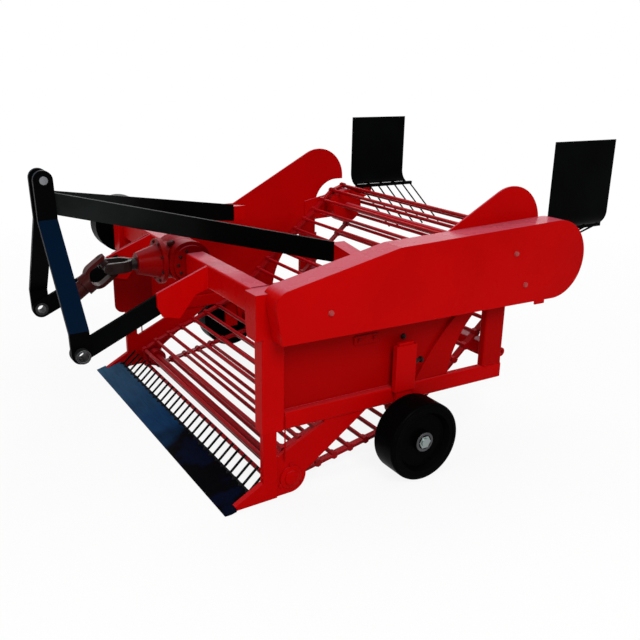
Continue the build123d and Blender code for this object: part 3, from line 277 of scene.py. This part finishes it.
def share_steel(name, far, middle, near, patches, rubbed):
    """Rolled plate whose blue scale breaks up and turns black towards the left side."""
    made = Nodes(name)
    along = made.part(made.place, "X")
    drift = made.math("MULTIPLY", made.math("SUBTRACT", made.noise(5.0, 3.0), 0.5), 0.5)
    place = made.math("ADD", along, drift)
    colour = made.mix(made.ramp(place, *FAR_SCALE), far, middle)
    blotch = made.ramp(made.noise(11.0, 3.0), 0.52, 0.60)
    colour = made.mix(made.ramp(place, *NEAR_SCALE), colour, made.mix(blotch, near, patches))
    rub = made.ramp(made.noise(26.0, 5.0, 0.7, (0.3, 3.0, 3.0)), 0.45, 0.7, 0.0, 0.35)
    made.link(made.mix(rub, colour, rubbed), made.shader.inputs["Base Color"])
    made.shader.inputs["Specular IOR Level"].default_value = 0.010
    steel_surface(made, 0.32, 0.5, (0.3, 2.0, 2.0))
    return made.material


def leg_paint(name, coat, metal, start_x):
    """Red leg whose axle end and nut beyond start_x are bare steel."""
    made = Nodes(name)
    outside = made.math("ABSOLUTE", made.part(made.place, "X"))
    bare = made.ramp(outside, start_x, start_x + PAINT_EDGE)
    made.link(made.mix(bare, coat, metal), made.shader.inputs["Base Color"])
    made.link(bare, made.shader.inputs["Metallic"])
    enamel_surface(made, 0.24, 0.018)
    return made.material


# colours are linear red, green and blue; the light one comes first, then the dark and the worn
# painted sheen: the haze colours below (last but one for the plate red, last for the other
# reds) stand for a white sky reflected pink on level tops
RED_SHEEN = (0.40, 0.072, 0.105)
RED = paint("red_enamel", (0.47, 0.0008, 0.0011), (0.41, 0.0006, 0.0009), (0.17, 0.003, 0.003),
            0.22, 0.3, 0.018, RED_SHEEN)
# painted shade: the plate red's last colour darkens the side plates and rear posts below the
# cover, in its shadow
PLATE_RED = paint("plate_enamel", (0.46, 0.0008, 0.0011), (0.40, 0.0006, 0.0009),
                  (0.17, 0.003, 0.003), 0.22, 0.3, 0.014, RED_SHEEN, (0.335, 0.0006, 0.0008))
LOW_RED = paint("low_enamel", (0.46, 0.0008, 0.0011), (0.40, 0.0006, 0.0009),
                (0.17, 0.003, 0.003), 0.24, 0.3, 0.014, (0.44, 0.014, 0.018))
# painted shade: a darker copy of the red for the gearbox and its guard plate, which sit in
# shade among the arms
SHADED_RED = paint("shaded_enamel", (0.25, 0.0007, 0.0009), (0.17, 0.0005, 0.0007),
                 (0.30, 0.03, 0.03), 0.24, 0.5, 0.03, (0.26, 0.03, 0.04))
CHAIN_RED = paint("chain_enamel", (0.34, 0.0012, 0.003), (0.15, 0.0008, 0.002),
                  (0.05, 0.003, 0.005), 0.26, 0.6, 0.06, (0.36, 0.012, 0.018))
BLACK = paint("black_enamel", (0.0022, 0.0026, 0.0025), (0.0010, 0.0010, 0.0011),
              (0.006, 0.006, 0.006), 0.26, 0.3, 0.005)
BRACE_BLACK = fading_paint("brace_enamel", (0.0170, 0.0205, 0.0198), (0.0011, 0.0010, 0.0009),
                           (0.012, 0.012, 0.012), -0.86, -0.45, 0.26, 0.005)
WHEEL_BLACK = paint("wheel_enamel", (0.0012, 0.0012, 0.0013), (0.0007, 0.0007, 0.0008),
                    (0.008, 0.008, 0.008), 0.28, 0.3, 0.008)
# painted reflection: the hitch legs' upward-leaning faces are tinted blue for the sky they
# mirror
HITCH_BLACK = sky_reflection_paint("hitch_enamel", (0.0018, 0.0019, 0.0019), (0.0009, 0.0009, 0.001),
                        (0.006, 0.006, 0.007), (0.0010, 0.0062, 0.0185), 0.22, 0.006)
ROUGH_RED = paint("shaft_enamel", (0.060, 0.0025, 0.0025), (0.007, 0.0025, 0.002),
                  (0.12, 0.05, 0.04), 0.34, 0.5, 0.08)
TINE = steel("tine_steel", (0.002, 0.002, 0.0024), (0.006, 0.006, 0.007), 0.4, 0.0, 0.03)
SHARE = share_steel("share_steel", (0.021, 0.068, 0.130), (0.004, 0.028, 0.080),
                    (0.0004, 0.0004, 0.0010), (0.0008, 0.0022, 0.0100),
                    (0.0010, 0.0012, 0.0020))
BRIGHT = steel("zinc_steel", (0.20, 0.205, 0.215), (0.09, 0.093, 0.10), 0.36, 1.0)
DULL = steel("dull_steel", (0.10, 0.10, 0.105), (0.035, 0.035, 0.038), 0.42, 0.7)
BOLT_RED = paint("bolt_enamel", (0.36, 0.03, 0.03), (0.26, 0.05, 0.05), (0.35, 0.22, 0.21),
                 0.3, 0.7, 0.3)
YOKE = steel("yoke_iron", (0.024, 0.010, 0.009), (0.005, 0.003, 0.003), 0.34, 0.3, 0.2)
IRON = steel("dark_iron", (0.030, 0.012, 0.012), (0.008, 0.004, 0.004), 0.42, 0.2, 0.08)
BUSH = steel("bush_steel", (0.030, 0.032, 0.031), (0.006, 0.006, 0.006), 0.38, 0.3, 0.05)
AXLE_END = 0.008             # bare axle end and nut, within the wheel's outer face
LEG = leg_paint("leg_enamel", (0.44, 0.0008, 0.0011), (0.24, 0.28, 0.27),
                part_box("wheel_left")[1].x - AXLE_END)

CAD_MATERIALS = {
    "share_blade": SHARE, "share_comb": TINE, "top_pin": BRIGHT, "lower_bush": BUSH,
    "hitch_leg": HITCH_BLACK, "top_brace": BRACE_BLACK, "lower_arm": BLACK, "rear_flap": BLACK,
    "brace_stub": RED, "far_disc": WHEEL_BLACK, "wheel": WHEEL_BLACK, "wheel_leg": LEG,
    "side_plate": PLATE_RED, "rear_post": PLATE_RED,
    "gearbox": SHADED_RED, "guard_plate": SHADED_RED,
    "pto_input": YOKE, "pto_cross": IRON, "pto_shaft": ROUGH_RED,
    "conveyor_chain": CHAIN_RED, "return_idler": CHAIN_RED, "front_idler": CHAIN_RED,
    "lower_beam": LOW_RED, "side_foot": LOW_RED,
}
SMOOTH_ANGLE = math.radians(32)


def kind_of(node):
    """A node's name without its side."""
    return node.removesuffix("_left").removesuffix("_right")


def finish_mesh(obj, material):
    """Smooth shading split at sharp edges, and one material."""
    obj.data.shade_smooth()
    obj.data.set_sharp_from_angle(angle=SMOOTH_ANGLE)
    if not obj.data.materials:
        obj.data.materials.append(material)
    for place in obj.material_slots:
        place.material = material


for node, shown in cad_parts.items():
    finish_mesh(shown, CAD_MATERIALS.get(kind_of(node), RED))

# ---------------------------------------------------------------- places
EDGE_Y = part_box("share_blade")[0].y
COVER_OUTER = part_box("drive_cover")[1].x
WHEEL_LOW, WHEEL_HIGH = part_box("wheel_left")
PLATE_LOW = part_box("side_plate_left")[0]
BEAM_LOW, BEAM_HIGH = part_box("lower_beam_left")
POST_LOW, POST_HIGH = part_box("front_post_left")
CROSS_LOW, CROSS_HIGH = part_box("front_cross_beam")
GEAR_LOW, GEAR_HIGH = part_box("gearbox")
PIN_LOW, PIN_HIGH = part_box("top_pin")
COMB_LOW, COMB_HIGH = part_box("share_comb")
PLATE_THICKNESS = 0.006
PLATE_OUTER = PLATE_LOW.x + PLATE_THICKNESS
BEAM_TOP = PLATE_LOW.z


def behind(y):
    """Distance behind the share's front edge, as a place along Y."""
    return EDGE_Y + y


def centre_of(low, high):
    """Middle of a box along Y and Z, where a shaft across the machine has its axis."""
    return (low.y + high.y) / 2, (low.z + high.z) / 2


# ---------------------------------------------------------------- mesh code
def aim(place, axis):
    """A matrix with its Z along axis and its origin at place."""
    turn = Vector(axis).normalized().to_track_quat("Z", "Y").to_matrix().to_4x4()
    return Matrix.Translation(place) @ turn


def turned(mesh, place, axis, profile, sides):
    """Revolve (radius, height) points about axis through place; ends at radius 0 are closed."""
    matrix = aim(place, axis)
    rings = []
    for radius, height in profile:
        if radius == 0:
            rings.append([mesh.verts.new(matrix @ Vector((0, 0, height)))])
            continue
        rings.append([mesh.verts.new(matrix @ Vector((
            radius * math.cos(2 * math.pi * k / sides),
            radius * math.sin(2 * math.pi * k / sides), height))) for k in range(sides)])
    for low, high in zip(rings, rings[1:]):
        for k in range(sides):
            nxt = (k + 1) % sides
            if len(low) == 1:
                mesh.faces.new((low[0], high[k], high[nxt]))
            elif len(high) == 1:
                mesh.faces.new((low[k], low[nxt], high[0]))
            else:
                mesh.faces.new((low[k], low[nxt], high[nxt], high[k]))


WASHER_THICKNESS = 0.16      # sizes of a bolt, as shares of its head's radius
HEAD_HEIGHT = 0.62
THREAD_END = ((0.84, -0.02), (0.60, 0.02), (0.42, 0.02), (0.38, 0.20), (0, 0.24))


def bolt(mesh, place, axis, head, washer=True):
    """Washer, chamfered hexagon head and a rounded thread end, on a surface at place."""
    thick = WASHER_THICKNESS * head if washer else 0.0
    if washer:
        turned(mesh, place, axis, ((0, 0), (1.02 * head, 0), (1.06 * head, 0.3 * thick),
                                   (1.02 * head, thick), (0, thick)), sides=24)
    top = thick + HEAD_HEIGHT * head
    turned(mesh, place, axis, ((0.96 * head, 0.8 * thick), (0.96 * head, top - 0.12 * head),
                               (0.84 * head, top), (0, top)), sides=6)
    turned(mesh, place, axis, [(radius * head, top + height * head)
                               for radius, height in THREAD_END], sides=16)


def bolt_circle(mesh, hub, side, radius, degrees, head, washer=True):
    """Bolts round hub at the given angles, on a face that looks along X."""
    for angle in (math.radians(turn) for turn in degrees):
        place = (hub[0], hub[1] + radius * math.cos(angle), hub[2] + radius * math.sin(angle))
        bolt(mesh, place, (side, 0, 0), head, washer)


BEAD_STEPS = 6               # faces round the half circle of a bead
RIPPLE_LENGTH = 1.1          # length and height of a ripple, as shares of the bead's radius
RIPPLE_HEIGHT = 0.7
RIPPLE_DIP = 0.80            # radius between two ripples
RIPPLE_CHANGE = 0.10         # how much the ripples differ, and the angle from one to the next
RIPPLE_TURN = 2.3


def bead(mesh, start, end, radius, outward):
    """Weld bead: a half-round string of overlapping ripples from start to end."""
    start, end = Vector(start), Vector(end)
    run = end - start
    across = run.cross(Vector(outward)).normalized()
    lift = Vector(outward).normalized()
    count = max(3, int(run.length / (RIPPLE_LENGTH * radius)))
    arc = [math.pi * k / BEAD_STEPS for k in range(BEAD_STEPS + 1)]
    rows = []
    for step in range(2 * count + 1):
        spot = start + run * step / (2 * count)
        change = RIPPLE_CHANGE * math.sin(RIPPLE_TURN * step)
        size = radius * ((1.0 if step % 2 else RIPPLE_DIP) + change)
        rows.append([mesh.verts.new(spot + across * size * math.cos(a)
                                    + lift * size * RIPPLE_HEIGHT * math.sin(a)) for a in arc])
    for low, high in zip(rows, rows[1:]):
        for k in range(BEAD_STEPS):
            mesh.faces.new((low[k], high[k], high[k + 1], low[k + 1]))
    mesh.faces.new(rows[0])
    mesh.faces.new(list(reversed(rows[-1])))


def plate(mesh, outline, place, axis, side, thickness, edge):
    """Flat plate with a chamfer round its face; outline runs along side and across it."""
    axis, side = Vector(axis).normalized(), Vector(side).normalized()
    up = axis.cross(side)
    centre = sum((Vector((a, b, 0)) for a, b in outline), Vector()) / len(outline)

    def ring(height, shrink):
        """The outline at a height above the plate's back, drawn in by shrink."""
        made = []
        for a, b in outline:
            flat = Vector((a, b, 0))
            flat -= (flat - centre).normalized() * shrink
            spot = Vector(place) + side * flat.x + up * flat.y + axis * height
            made.append(mesh.verts.new(spot))
        return made

    rows = [ring(0, 0), ring(thickness - edge, 0), ring(thickness, edge)]
    for low, high in zip(rows, rows[1:]):
        for k in range(len(outline)):
            nxt = (k + 1) % len(outline)
            mesh.faces.new((low[k], low[nxt], high[nxt], high[k]))
    mesh.faces.new(rows[-1])


CORNER_STEPS = 4


def rounded(width, height, corner):
    """Outline of a rectangle with rounded corners, about its middle."""
    points = []
    for turn, (sx, sy) in enumerate(((1, 1), (-1, 1), (-1, -1), (1, -1))):
        for k in range(CORNER_STEPS + 1):
            angle = math.pi / 2 * (turn + k / CORNER_STEPS)
            points.append((sx * (width / 2 - corner) + corner * math.cos(angle),
                           sy * (height / 2 - corner) + corner * math.sin(angle)))
    return points


def piece(name, build, material, body):
    """Make one named piece from a function that fills its mesh."""
    mesh = bmesh.new()
    build(mesh)
    bmesh.ops.recalc_face_normals(mesh, faces=mesh.faces)
    data = bpy.data.meshes.new(name)
    mesh.to_mesh(data)
    mesh.free()
    obj = bpy.data.objects.new(name, data)
    bpy.context.scene.collection.objects.link(obj)
    finish_mesh(obj, material)
    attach(obj, body)
    return obj


def on_side(build, side):
    """A detail on one side of the machine: 1 is the left and -1 the right."""
    return lambda mesh: build(mesh, side)


def mirrored(build):
    """The same detail on both sides of the machine."""
    def both(mesh):
        """Left first, then right."""
        build(mesh, 1)
        build(mesh, -1)
    return both


# ---------------------------------------------------------------- bolts and bearings
# a PROFILE below is a row of (radius, height) pairs that is turned round an axis
COVER_BOLTS = ((0.316, 0.593), (1.022, 0.688), (1.076, 0.577))  # behind the edge, and height
COVER_BOLT_HEAD = 0.0085


def cover_bolts(mesh):
    """Bolts through the outer face of the drive cover."""
    for y, z in COVER_BOLTS:
        bolt(mesh, (COVER_OUTER, behind(y), z), (1, 0, 0), COVER_BOLT_HEAD)


FLANGE_BOLTS = 8
FLANGE_BOLT_RADIUS = 0.067
FLANGE_STEP = 0.072          # front flange behind the neck's front
BARREL_BEHIND = 0.162        # cross barrel behind the neck's front
CAP_BOLT_RADIUS = 0.048
CAP_BOLT_DEGREES = [111.6 + 34.2 * k for k in range(5)]
GEAR_BOLT_HEAD = 0.0065
PLUG = (0.030, 0.115, 0.060)  # along X, behind the neck's front, above the input's axis
PLUG_AXIS = (0, -0.35, 1)
PLUG_PROFILE = ((0.014, 0), (0.014, 0.010), (0.011, 0.012), (0.0, 0.012))


def gearbox_bolts(mesh):
    """Bolts of the front flange and of both end caps, and the oil plug."""
    axis_z = centre_of(*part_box("pto_input"))[1]
    for k in range(FLANGE_BOLTS):
        angle = 2 * math.pi * (k + 0.5) / FLANGE_BOLTS
        place = (FLANGE_BOLT_RADIUS * math.cos(angle), GEAR_LOW.y + FLANGE_STEP,
                 axis_z + FLANGE_BOLT_RADIUS * math.sin(angle))
        bolt(mesh, place, (0, -1, 0), GEAR_BOLT_HEAD, washer=False)
    for side, face in ((1, GEAR_HIGH.x), (-1, GEAR_LOW.x)):
        hub = (face, GEAR_LOW.y + BARREL_BEHIND, axis_z)
        bolt_circle(mesh, hub, side, CAP_BOLT_RADIUS, CAP_BOLT_DEGREES, GEAR_BOLT_HEAD,
                    washer=False)
    turned(mesh, (PLUG[0], GEAR_LOW.y + PLUG[1], axis_z + PLUG[2]), PLUG_AXIS, PLUG_PROFILE,
           sides=6)


FOOT_STEP = 0.006            # foot's face inside the beam's outer face
BOSS = (0.227, 0.061)        # idler's axis behind the share's edge, and its height
BOSS_PROFILE = ((0.037, 0.0), (0.037, 0.004), (0.033, 0.006), (0.024, 0.0075),
                (0.023, 0.012), (0.018, 0.0135), (0.0, 0.014))
BOSS_BOLT_RADIUS = 0.041
BOSS_BOLT_DEGREES = (90, 210, 330)
BOSS_BOLT_HEAD = 0.0062


def foot_bearing(mesh, side):
    """Flanged bearing housing round the front idler's shaft."""
    hub = (side * (BEAM_HIGH.x - FOOT_STEP), behind(BOSS[0]), BOSS[1])
    turned(mesh, hub, (side, 0, 0), BOSS_PROFILE, sides=36)
    bolt_circle(mesh, hub, side, BOSS_BOLT_RADIUS, BOSS_BOLT_DEGREES, BOSS_BOLT_HEAD)


HEAD_ARM_THICKNESS = 0.008
HEAD_PROFILE = ((0.034, -0.001), (0.034, 0.003), (0.031, 0.005), (0.023, 0.006),
                (0.022, 0.010), (0.018, 0.011))
HEAD_BOLT_RADIUS = 0.040
HEAD_BOLT_DEGREES = (30, 150, 270)
HEAD_BOLT_HEAD = 0.0058


def head_bearing(mesh, side):
    """Flanged bearing of the head shaft, on the inner face of its arm."""
    inner = side * (PLATE_LOW.x - HEAD_ARM_THICKNESS)
    hub = (inner, *centre_of(*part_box("head_shaft")))
    turned(mesh, hub, (-side, 0, 0), HEAD_PROFILE, sides=32)
    bolt_circle(mesh, hub, -side, HEAD_BOLT_RADIUS, HEAD_BOLT_DEGREES, HEAD_BOLT_HEAD)


HANGER_PROFILE = ((0.0155, -0.004), (0.0155, 0.0), (0.011, 0.002), (0.0, 0.0025))


def hanger_bearing(mesh, side):
    """Bearing cap on the hanger of the return idler."""
    low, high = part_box("return_idler")
    hub = (side * high.x, *centre_of(low, high))
    turned(mesh, hub, (side, 0, 0), HANGER_PROFILE, sides=24)


# ---------------------------------------------------------------- wheel details
SCREW = (0.010, 0.364)       # past the beam's outer face, and height
LOCK_NUT = ((0.011, 0.0), (0.011, 0.007), (0.0095, 0.008))
SCREW_PROFILE = ((0.006, 0.008), (0.006, 0.022), (0.0105, 0.023), (0.0105, 0.030),
                 (0.0, 0.032))
SLEEVE_BOLT = (0.026, 0.008)  # before the sleeve's rear, and above its top
SLEEVE_BOLT_HEAD = 0.009


def sleeve_screw(mesh, side):
    """Clamp screw with its lock nut behind the wheel's sleeve, and the bolt over it."""
    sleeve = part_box("wheel_leg_left")[1]
    spot = (side * (BEAM_HIGH.x + SCREW[0]), sleeve.y, SCREW[1])
    turned(mesh, spot, (0, 1, 0), LOCK_NUT, sides=6)
    turned(mesh, spot, (0, 1, 0), SCREW_PROFILE, sides=12)
    place = (side * PLATE_OUTER, sleeve.y - SLEEVE_BOLT[0], sleeve.z + SLEEVE_BOLT[1])
    bolt(mesh, place, (side, 0, 0), SLEEVE_BOLT_HEAD)


NUT_RING_INSET = 0.004       # within the wheel's outer face
NUT_RING = ((0.024, 0.0), (0.031, 0.0), (0.0325, 0.001), (0.031, 0.0022), (0.024, 0.0022))


def wheel_nut_ring(mesh):
    """Washer and grease ring round the axle nut."""
    hub = (WHEEL_HIGH.x - NUT_RING_INSET, *centre_of(WHEEL_LOW, WHEEL_HIGH))
    turned(mesh, hub, (1, 0, 0), NUT_RING, sides=40)


DISH_INSET = 0.020           # bottom of the dish within the wheel's outer face
DISH_WELD = ((0.047, 0.0), (0.043, 0.0005), (0.0415, 0.004))  # first value: inside the tread
RIM_LIP = ((0.020, -0.001), (0.018, 0.0012), (0.015, 0.0018), (0.012, 0.0012),
           (0.010, -0.001))


def wheel_seam(mesh, side):
    """Rolled lip at the drum's outer edge and the weld round the dished face."""
    centre = centre_of(WHEEL_LOW, WHEEL_HIGH)
    radius = (WHEEL_HIGH.z - WHEEL_LOW.z) / 2
    for inset, shape in ((DISH_INSET, DISH_WELD), (0.0, RIM_LIP)):
        profile = [(radius - inside, height) for inside, height in shape]
        turned(mesh, (side * (WHEEL_HIGH.x - inset), *centre), (side, 0, 0), profile, sides=72)


# ---------------------------------------------------------------- welds
WELD = 0.0035                # radius of a bead
THIN_WELD = 0.003
WELD_SHORT = 0.006           # a bead stops this far before a corner
PLATE_WELD_END = 0.70        # behind the share's edge
POST_WELD_TOP = 0.55
REAR_WELD = (0.078, 0.008)   # start and end before the beam's rear
REAR_WELD_SINK = 0.001       # into the beam's outer face
CROSS_REACH = 0.010          # cross beam's weld inside the front post
BRACKET_WELD_SHORT = 0.004


def frame_welds(mesh, side):
    """Beads where the side plate, the posts, the beam and the cross beam meet."""
    plate_x = side * PLATE_OUTER
    corner = (plate_x, POST_HIGH.y, BEAM_TOP)
    bead(mesh, corner, (plate_x, behind(PLATE_WELD_END), BEAM_TOP), WELD, (side, 0, 1))
    bead(mesh, corner, (plate_x, POST_HIGH.y, POST_WELD_TOP), WELD, (side, 1, 0))
    beam_x = side * BEAM_HIGH.x
    bead(mesh, (beam_x, POST_HIGH.y, BEAM_LOW.z + WELD_SHORT),
         (beam_x, POST_HIGH.y, BEAM_TOP - WELD_SHORT), THIN_WELD, (side, 0, 0))
    rear_x = beam_x - side * REAR_WELD_SINK
    start, end = (BEAM_HIGH.y - before for before in REAR_WELD)
    bead(mesh, (rear_x, start, BEAM_TOP), (rear_x, end, BEAM_TOP), THIN_WELD, (side, 0, 0))
    cross_x = side * (POST_LOW.x - CROSS_REACH)
    bead(mesh, (cross_x, CROSS_LOW.y, CROSS_LOW.z + WELD_SHORT),
         (cross_x, CROSS_LOW.y, CROSS_HIGH.z - WELD_SHORT), WELD, (-side, -1, 0))
    bead(mesh, (cross_x, CROSS_LOW.y + WELD_SHORT, CROSS_HIGH.z),
         (cross_x, CROSS_HIGH.y - WELD_SHORT, CROSS_HIGH.z), WELD, (-side, 0, 1))


def bracket_welds(mesh, side):
    """Beads down both faces of the lower arm's bracket, on the cross beam."""
    low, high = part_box("arm_bracket_left")
    for x, out in ((low.x, -1), (high.x, 1)):
        bead(mesh, (side * x, CROSS_LOW.y, CROSS_LOW.z + BRACKET_WELD_SHORT),
             (side * x, CROSS_LOW.y, high.z - BRACKET_WELD_SHORT), WELD, (side * out, -1, 0))


COMB_RODS = 28
COMB_END = 0.012             # carrier past the outer rods
LUMP = (0.096, 0.009)        # behind the share's edge, and above the comb's lowest point
LUMP_AXIS = (0, -0.3, 1)
LUMP_RADIUS = 0.0085
LUMP_CHANGE = 0.0012         # how much the lumps differ, and the angle from one to the next
LUMP_TURN = 5.1
LUMP_PROFILE = ((1, 0), (0.8, 0.55), (0.35, 0.85), (0, 0.9))  # in shares of the radius


def comb_welds(mesh):
    """A small lump of weld at the root of every rod, on the share's rear edge."""
    first, last = COMB_LOW.x + COMB_END, COMB_HIGH.x - COMB_END
    for index in range(COMB_RODS):
        x = first + (last - first) * index / (COMB_RODS - 1)
        swell = LUMP_RADIUS + LUMP_CHANGE * math.sin(LUMP_TURN * index)
        turned(mesh, (x, behind(LUMP[0]), COMB_LOW.z + LUMP[1]), LUMP_AXIS,
               [(radius * swell, height * swell) for radius, height in LUMP_PROFILE], sides=10)


# ---------------------------------------------------------------- small brackets
TENSIONER = (0.500, 0.457)   # behind the share's edge, and height
TENSIONER_SIZE = (0.092, 0.030)
TENSIONER_CORNER = 0.006
TENSIONER_THICKNESS = 0.006
TENSIONER_CHAMFER = 0.0015
TENSIONER_BOLTS = (-0.028, 0.028)  # along Y from its middle
TENSIONER_BOLT_HEAD = 0.007


def tensioner(mesh, side):
    """Plate with two bolts under the cover's edge, for the side drive's tension."""
    x, y, z = side * PLATE_OUTER, behind(TENSIONER[0]), TENSIONER[1]
    plate(mesh, rounded(*TENSIONER_SIZE, TENSIONER_CORNER), (x, y, z), (side, 0, 0), (0, 1, 0),
          TENSIONER_THICKNESS, TENSIONER_CHAMFER)
    for shift in TENSIONER_BOLTS:
        bolt(mesh, (x + side * TENSIONER_THICKNESS, y + shift, z), (side, 0, 0),
             TENSIONER_BOLT_HEAD)


BUSH_LIPS = ((0.0005, 0.0012), (0.0045, 0.0006))  # inside the bush's rim, and height
LIP_SINK = 0.0005
LIP_WIDTH = 0.0022
LIP_TOP = (0.0016, 0.0006)   # ends of the flat top, inside the lip's rim


def bush_rings(mesh, side):
    """Lip and grease groove on the outer face of a lower bush."""
    low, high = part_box("lower_bush_left")
    radius = (high.z - low.z) / 2
    hub = (side * high.x, *centre_of(low, high))
    for inset, rise in BUSH_LIPS:
        outer = radius - inset
        profile = ((outer - LIP_WIDTH, -LIP_SINK), (outer - LIP_TOP[0], rise),
                   (outer - LIP_TOP[1], rise), (outer, -LIP_SINK))
        turned(mesh, hub, (side, 0, 0), profile, sides=48)


PIN_OVERHANG = 0.009         # top pin past each mast plate
PIN_WASHER = ((0.0128, 0.0), (0.0205, 0.0), (0.021, 0.001), (0.0205, 0.003), (0.0128, 0.003))


def pin_ends(mesh, side):
    """Washers at the ends of the top pin."""
    hub = (side * (PIN_HIGH.x - PIN_OVERHANG), *centre_of(PIN_LOW, PIN_HIGH))
    turned(mesh, hub, (side, 0, 0), PIN_WASHER, sides=32)


piece("cover_bolts", cover_bolts, BOLT_RED, "frame")
piece("gearbox_bolts", gearbox_bolts, ROUGH_RED, "frame")
piece("foot_bearings", mirrored(foot_bearing), LOW_RED, "frame")
piece("hanger_bearings", mirrored(hanger_bearing), RED, "frame")
piece("head_bearings", mirrored(head_bearing), CHAIN_RED, "frame")
piece("sleeve_screws", mirrored(sleeve_screw), IRON, "frame")
piece("wheel_nut_ring", wheel_nut_ring, DULL, "frame")
piece("wheel_seam_left", on_side(wheel_seam, 1), WHEEL_BLACK, "wheel_left")
piece("wheel_seam_right", on_side(wheel_seam, -1), WHEEL_BLACK, "wheel_right")
piece("frame_welds", mirrored(frame_welds), PLATE_RED, "frame")
piece("bracket_welds", mirrored(bracket_welds), RED, "frame")
piece("comb_welds", comb_welds, TINE, "frame")
piece("tensioner_plate", on_side(tensioner, 1), PLATE_RED, "frame")
piece("pin_washers", mirrored(pin_ends), BLACK, "frame")
piece("bush_rings", mirrored(bush_rings), BRIGHT, "frame")


# ---------------------------------------------------------------- studio
WHITE = (1.0, 1.0, 1.0, 1.0)
FLOOR_REACH = 30.0
FLOOR_LIGHT = (0.80, 0.80, 0.80)
FLOOR_DARK = (0.784, 0.784, 0.784)
FLOOR_GLOW = 0.88            # the floor's own share of white at the machine
GLOW_RING = (1.2, 4.0)       # distances over which that share rises to all of it
SKY_STRENGTH = 0.30          # light of the white surroundings on the machine
LIGHTS = (                   # name, place, target, size and power in watts
    ("top_light", (-0.8, 1.0, 4.2), (0, 0, 0.5), (3.5, 3.5), 95),
    ("side_light", (3.4, -0.8, 3.2), (0, 0, 0.4), (2.0, 2.0), 105),
    ("front_light", (0.8, -4.2, 2.6), (0, -0.2, 0.4), (2.5, 2.5), 45),
    ("back_light", (-5.4, 3.2, 2.9), (0, 0, 0.6), (7.0, 3.0), 100),
)


def seen_directly(tree):
    """1 for rays from the camera, from gloss and through glass."""
    path = tree.nodes.new("ShaderNodeLightPath")
    total = path.outputs["Is Camera Ray"]
    for name in ("Is Glossy Ray", "Is Transmission Ray"):
        node = tree.nodes.new("ShaderNodeMath")
        node.operation = "MAXIMUM"
        tree.links.new(total, node.inputs[0])
        tree.links.new(path.outputs[name], node.inputs[1])
        total = node.outputs[0]
    return total


def make_floor():
    """White floor that passes into plain white light around the machine, with no horizon."""
    mesh = bpy.data.meshes.new("floor")
    corners = [(-FLOOR_REACH, -FLOOR_REACH, 0), (FLOOR_REACH, -FLOOR_REACH, 0),
               (FLOOR_REACH, FLOOR_REACH, 0), (-FLOOR_REACH, FLOOR_REACH, 0)]
    mesh.from_pydata(corners, [], [(0, 1, 2, 3)])
    floor = bpy.data.objects.new("floor", mesh)
    bpy.context.scene.collection.objects.link(floor)
    made = Nodes("floor_white")
    tree = made.tree
    tint = made.mix(made.ramp(made.noise(2.0), 0.3, 0.7), FLOOR_LIGHT, FLOOR_DARK)
    made.link(tint, made.shader.inputs["Base Color"])
    made.shader.inputs["Roughness"].default_value = 0.9
    made.shader.inputs["Specular IOR Level"].default_value = 0.1
    glow = tree.nodes.new("ShaderNodeEmission")
    glow.inputs["Color"].default_value = WHITE
    distance = tree.nodes.new("ShaderNodeVectorMath")
    distance.operation = "LENGTH"
    made.link(made.place, distance.inputs[0])
    rising = made.ramp(distance.outputs["Value"], *GLOW_RING, FLOOR_GLOW, 1.0)
    blend = tree.nodes.new("ShaderNodeMixShader")
    made.link(made.math("MULTIPLY", seen_directly(tree), rising), blend.inputs["Fac"])
    made.link(made.shader.outputs["BSDF"], blend.inputs[1])
    made.link(glow.outputs["Emission"], blend.inputs[2])
    made.link(blend.outputs["Shader"], tree.nodes["Material Output"].inputs["Surface"])
    mesh.materials.append(made.material)


def make_world():
    """White surroundings that are seen at full strength but light the machine less."""
    world = bpy.data.worlds.new("studio")
    bpy.context.scene.world = world
    world.use_nodes = True
    tree = world.node_tree
    back = tree.nodes["Background"]
    mixer = tree.nodes.new("ShaderNodeMix")
    mixer.data_type = "FLOAT"
    mixer.inputs["A"].default_value = SKY_STRENGTH
    mixer.inputs["B"].default_value = 1.0
    tree.links.new(seen_directly(tree), mixer.inputs["Factor"])
    tree.links.new(mixer.outputs["Result"], back.inputs["Strength"])
    back.inputs["Color"].default_value = WHITE


def area_light(name, place, target, size, power):
    """A soft box at place that shines at target."""
    data = bpy.data.lights.new(name, "AREA")
    data.shape = "RECTANGLE"
    data.size, data.size_y = size
    data.energy = power
    lamp = bpy.data.objects.new(name, data)
    bpy.context.scene.collection.objects.link(lamp)
    lamp.location = place
    direction = Vector(target) - Vector(place)
    lamp.rotation_euler = direction.to_track_quat("-Z", "Y").to_euler()


make_floor()
make_world()
for light in LIGHTS:
    area_light(*light)
bpy.context.scene.view_settings.view_transform = "Standard"
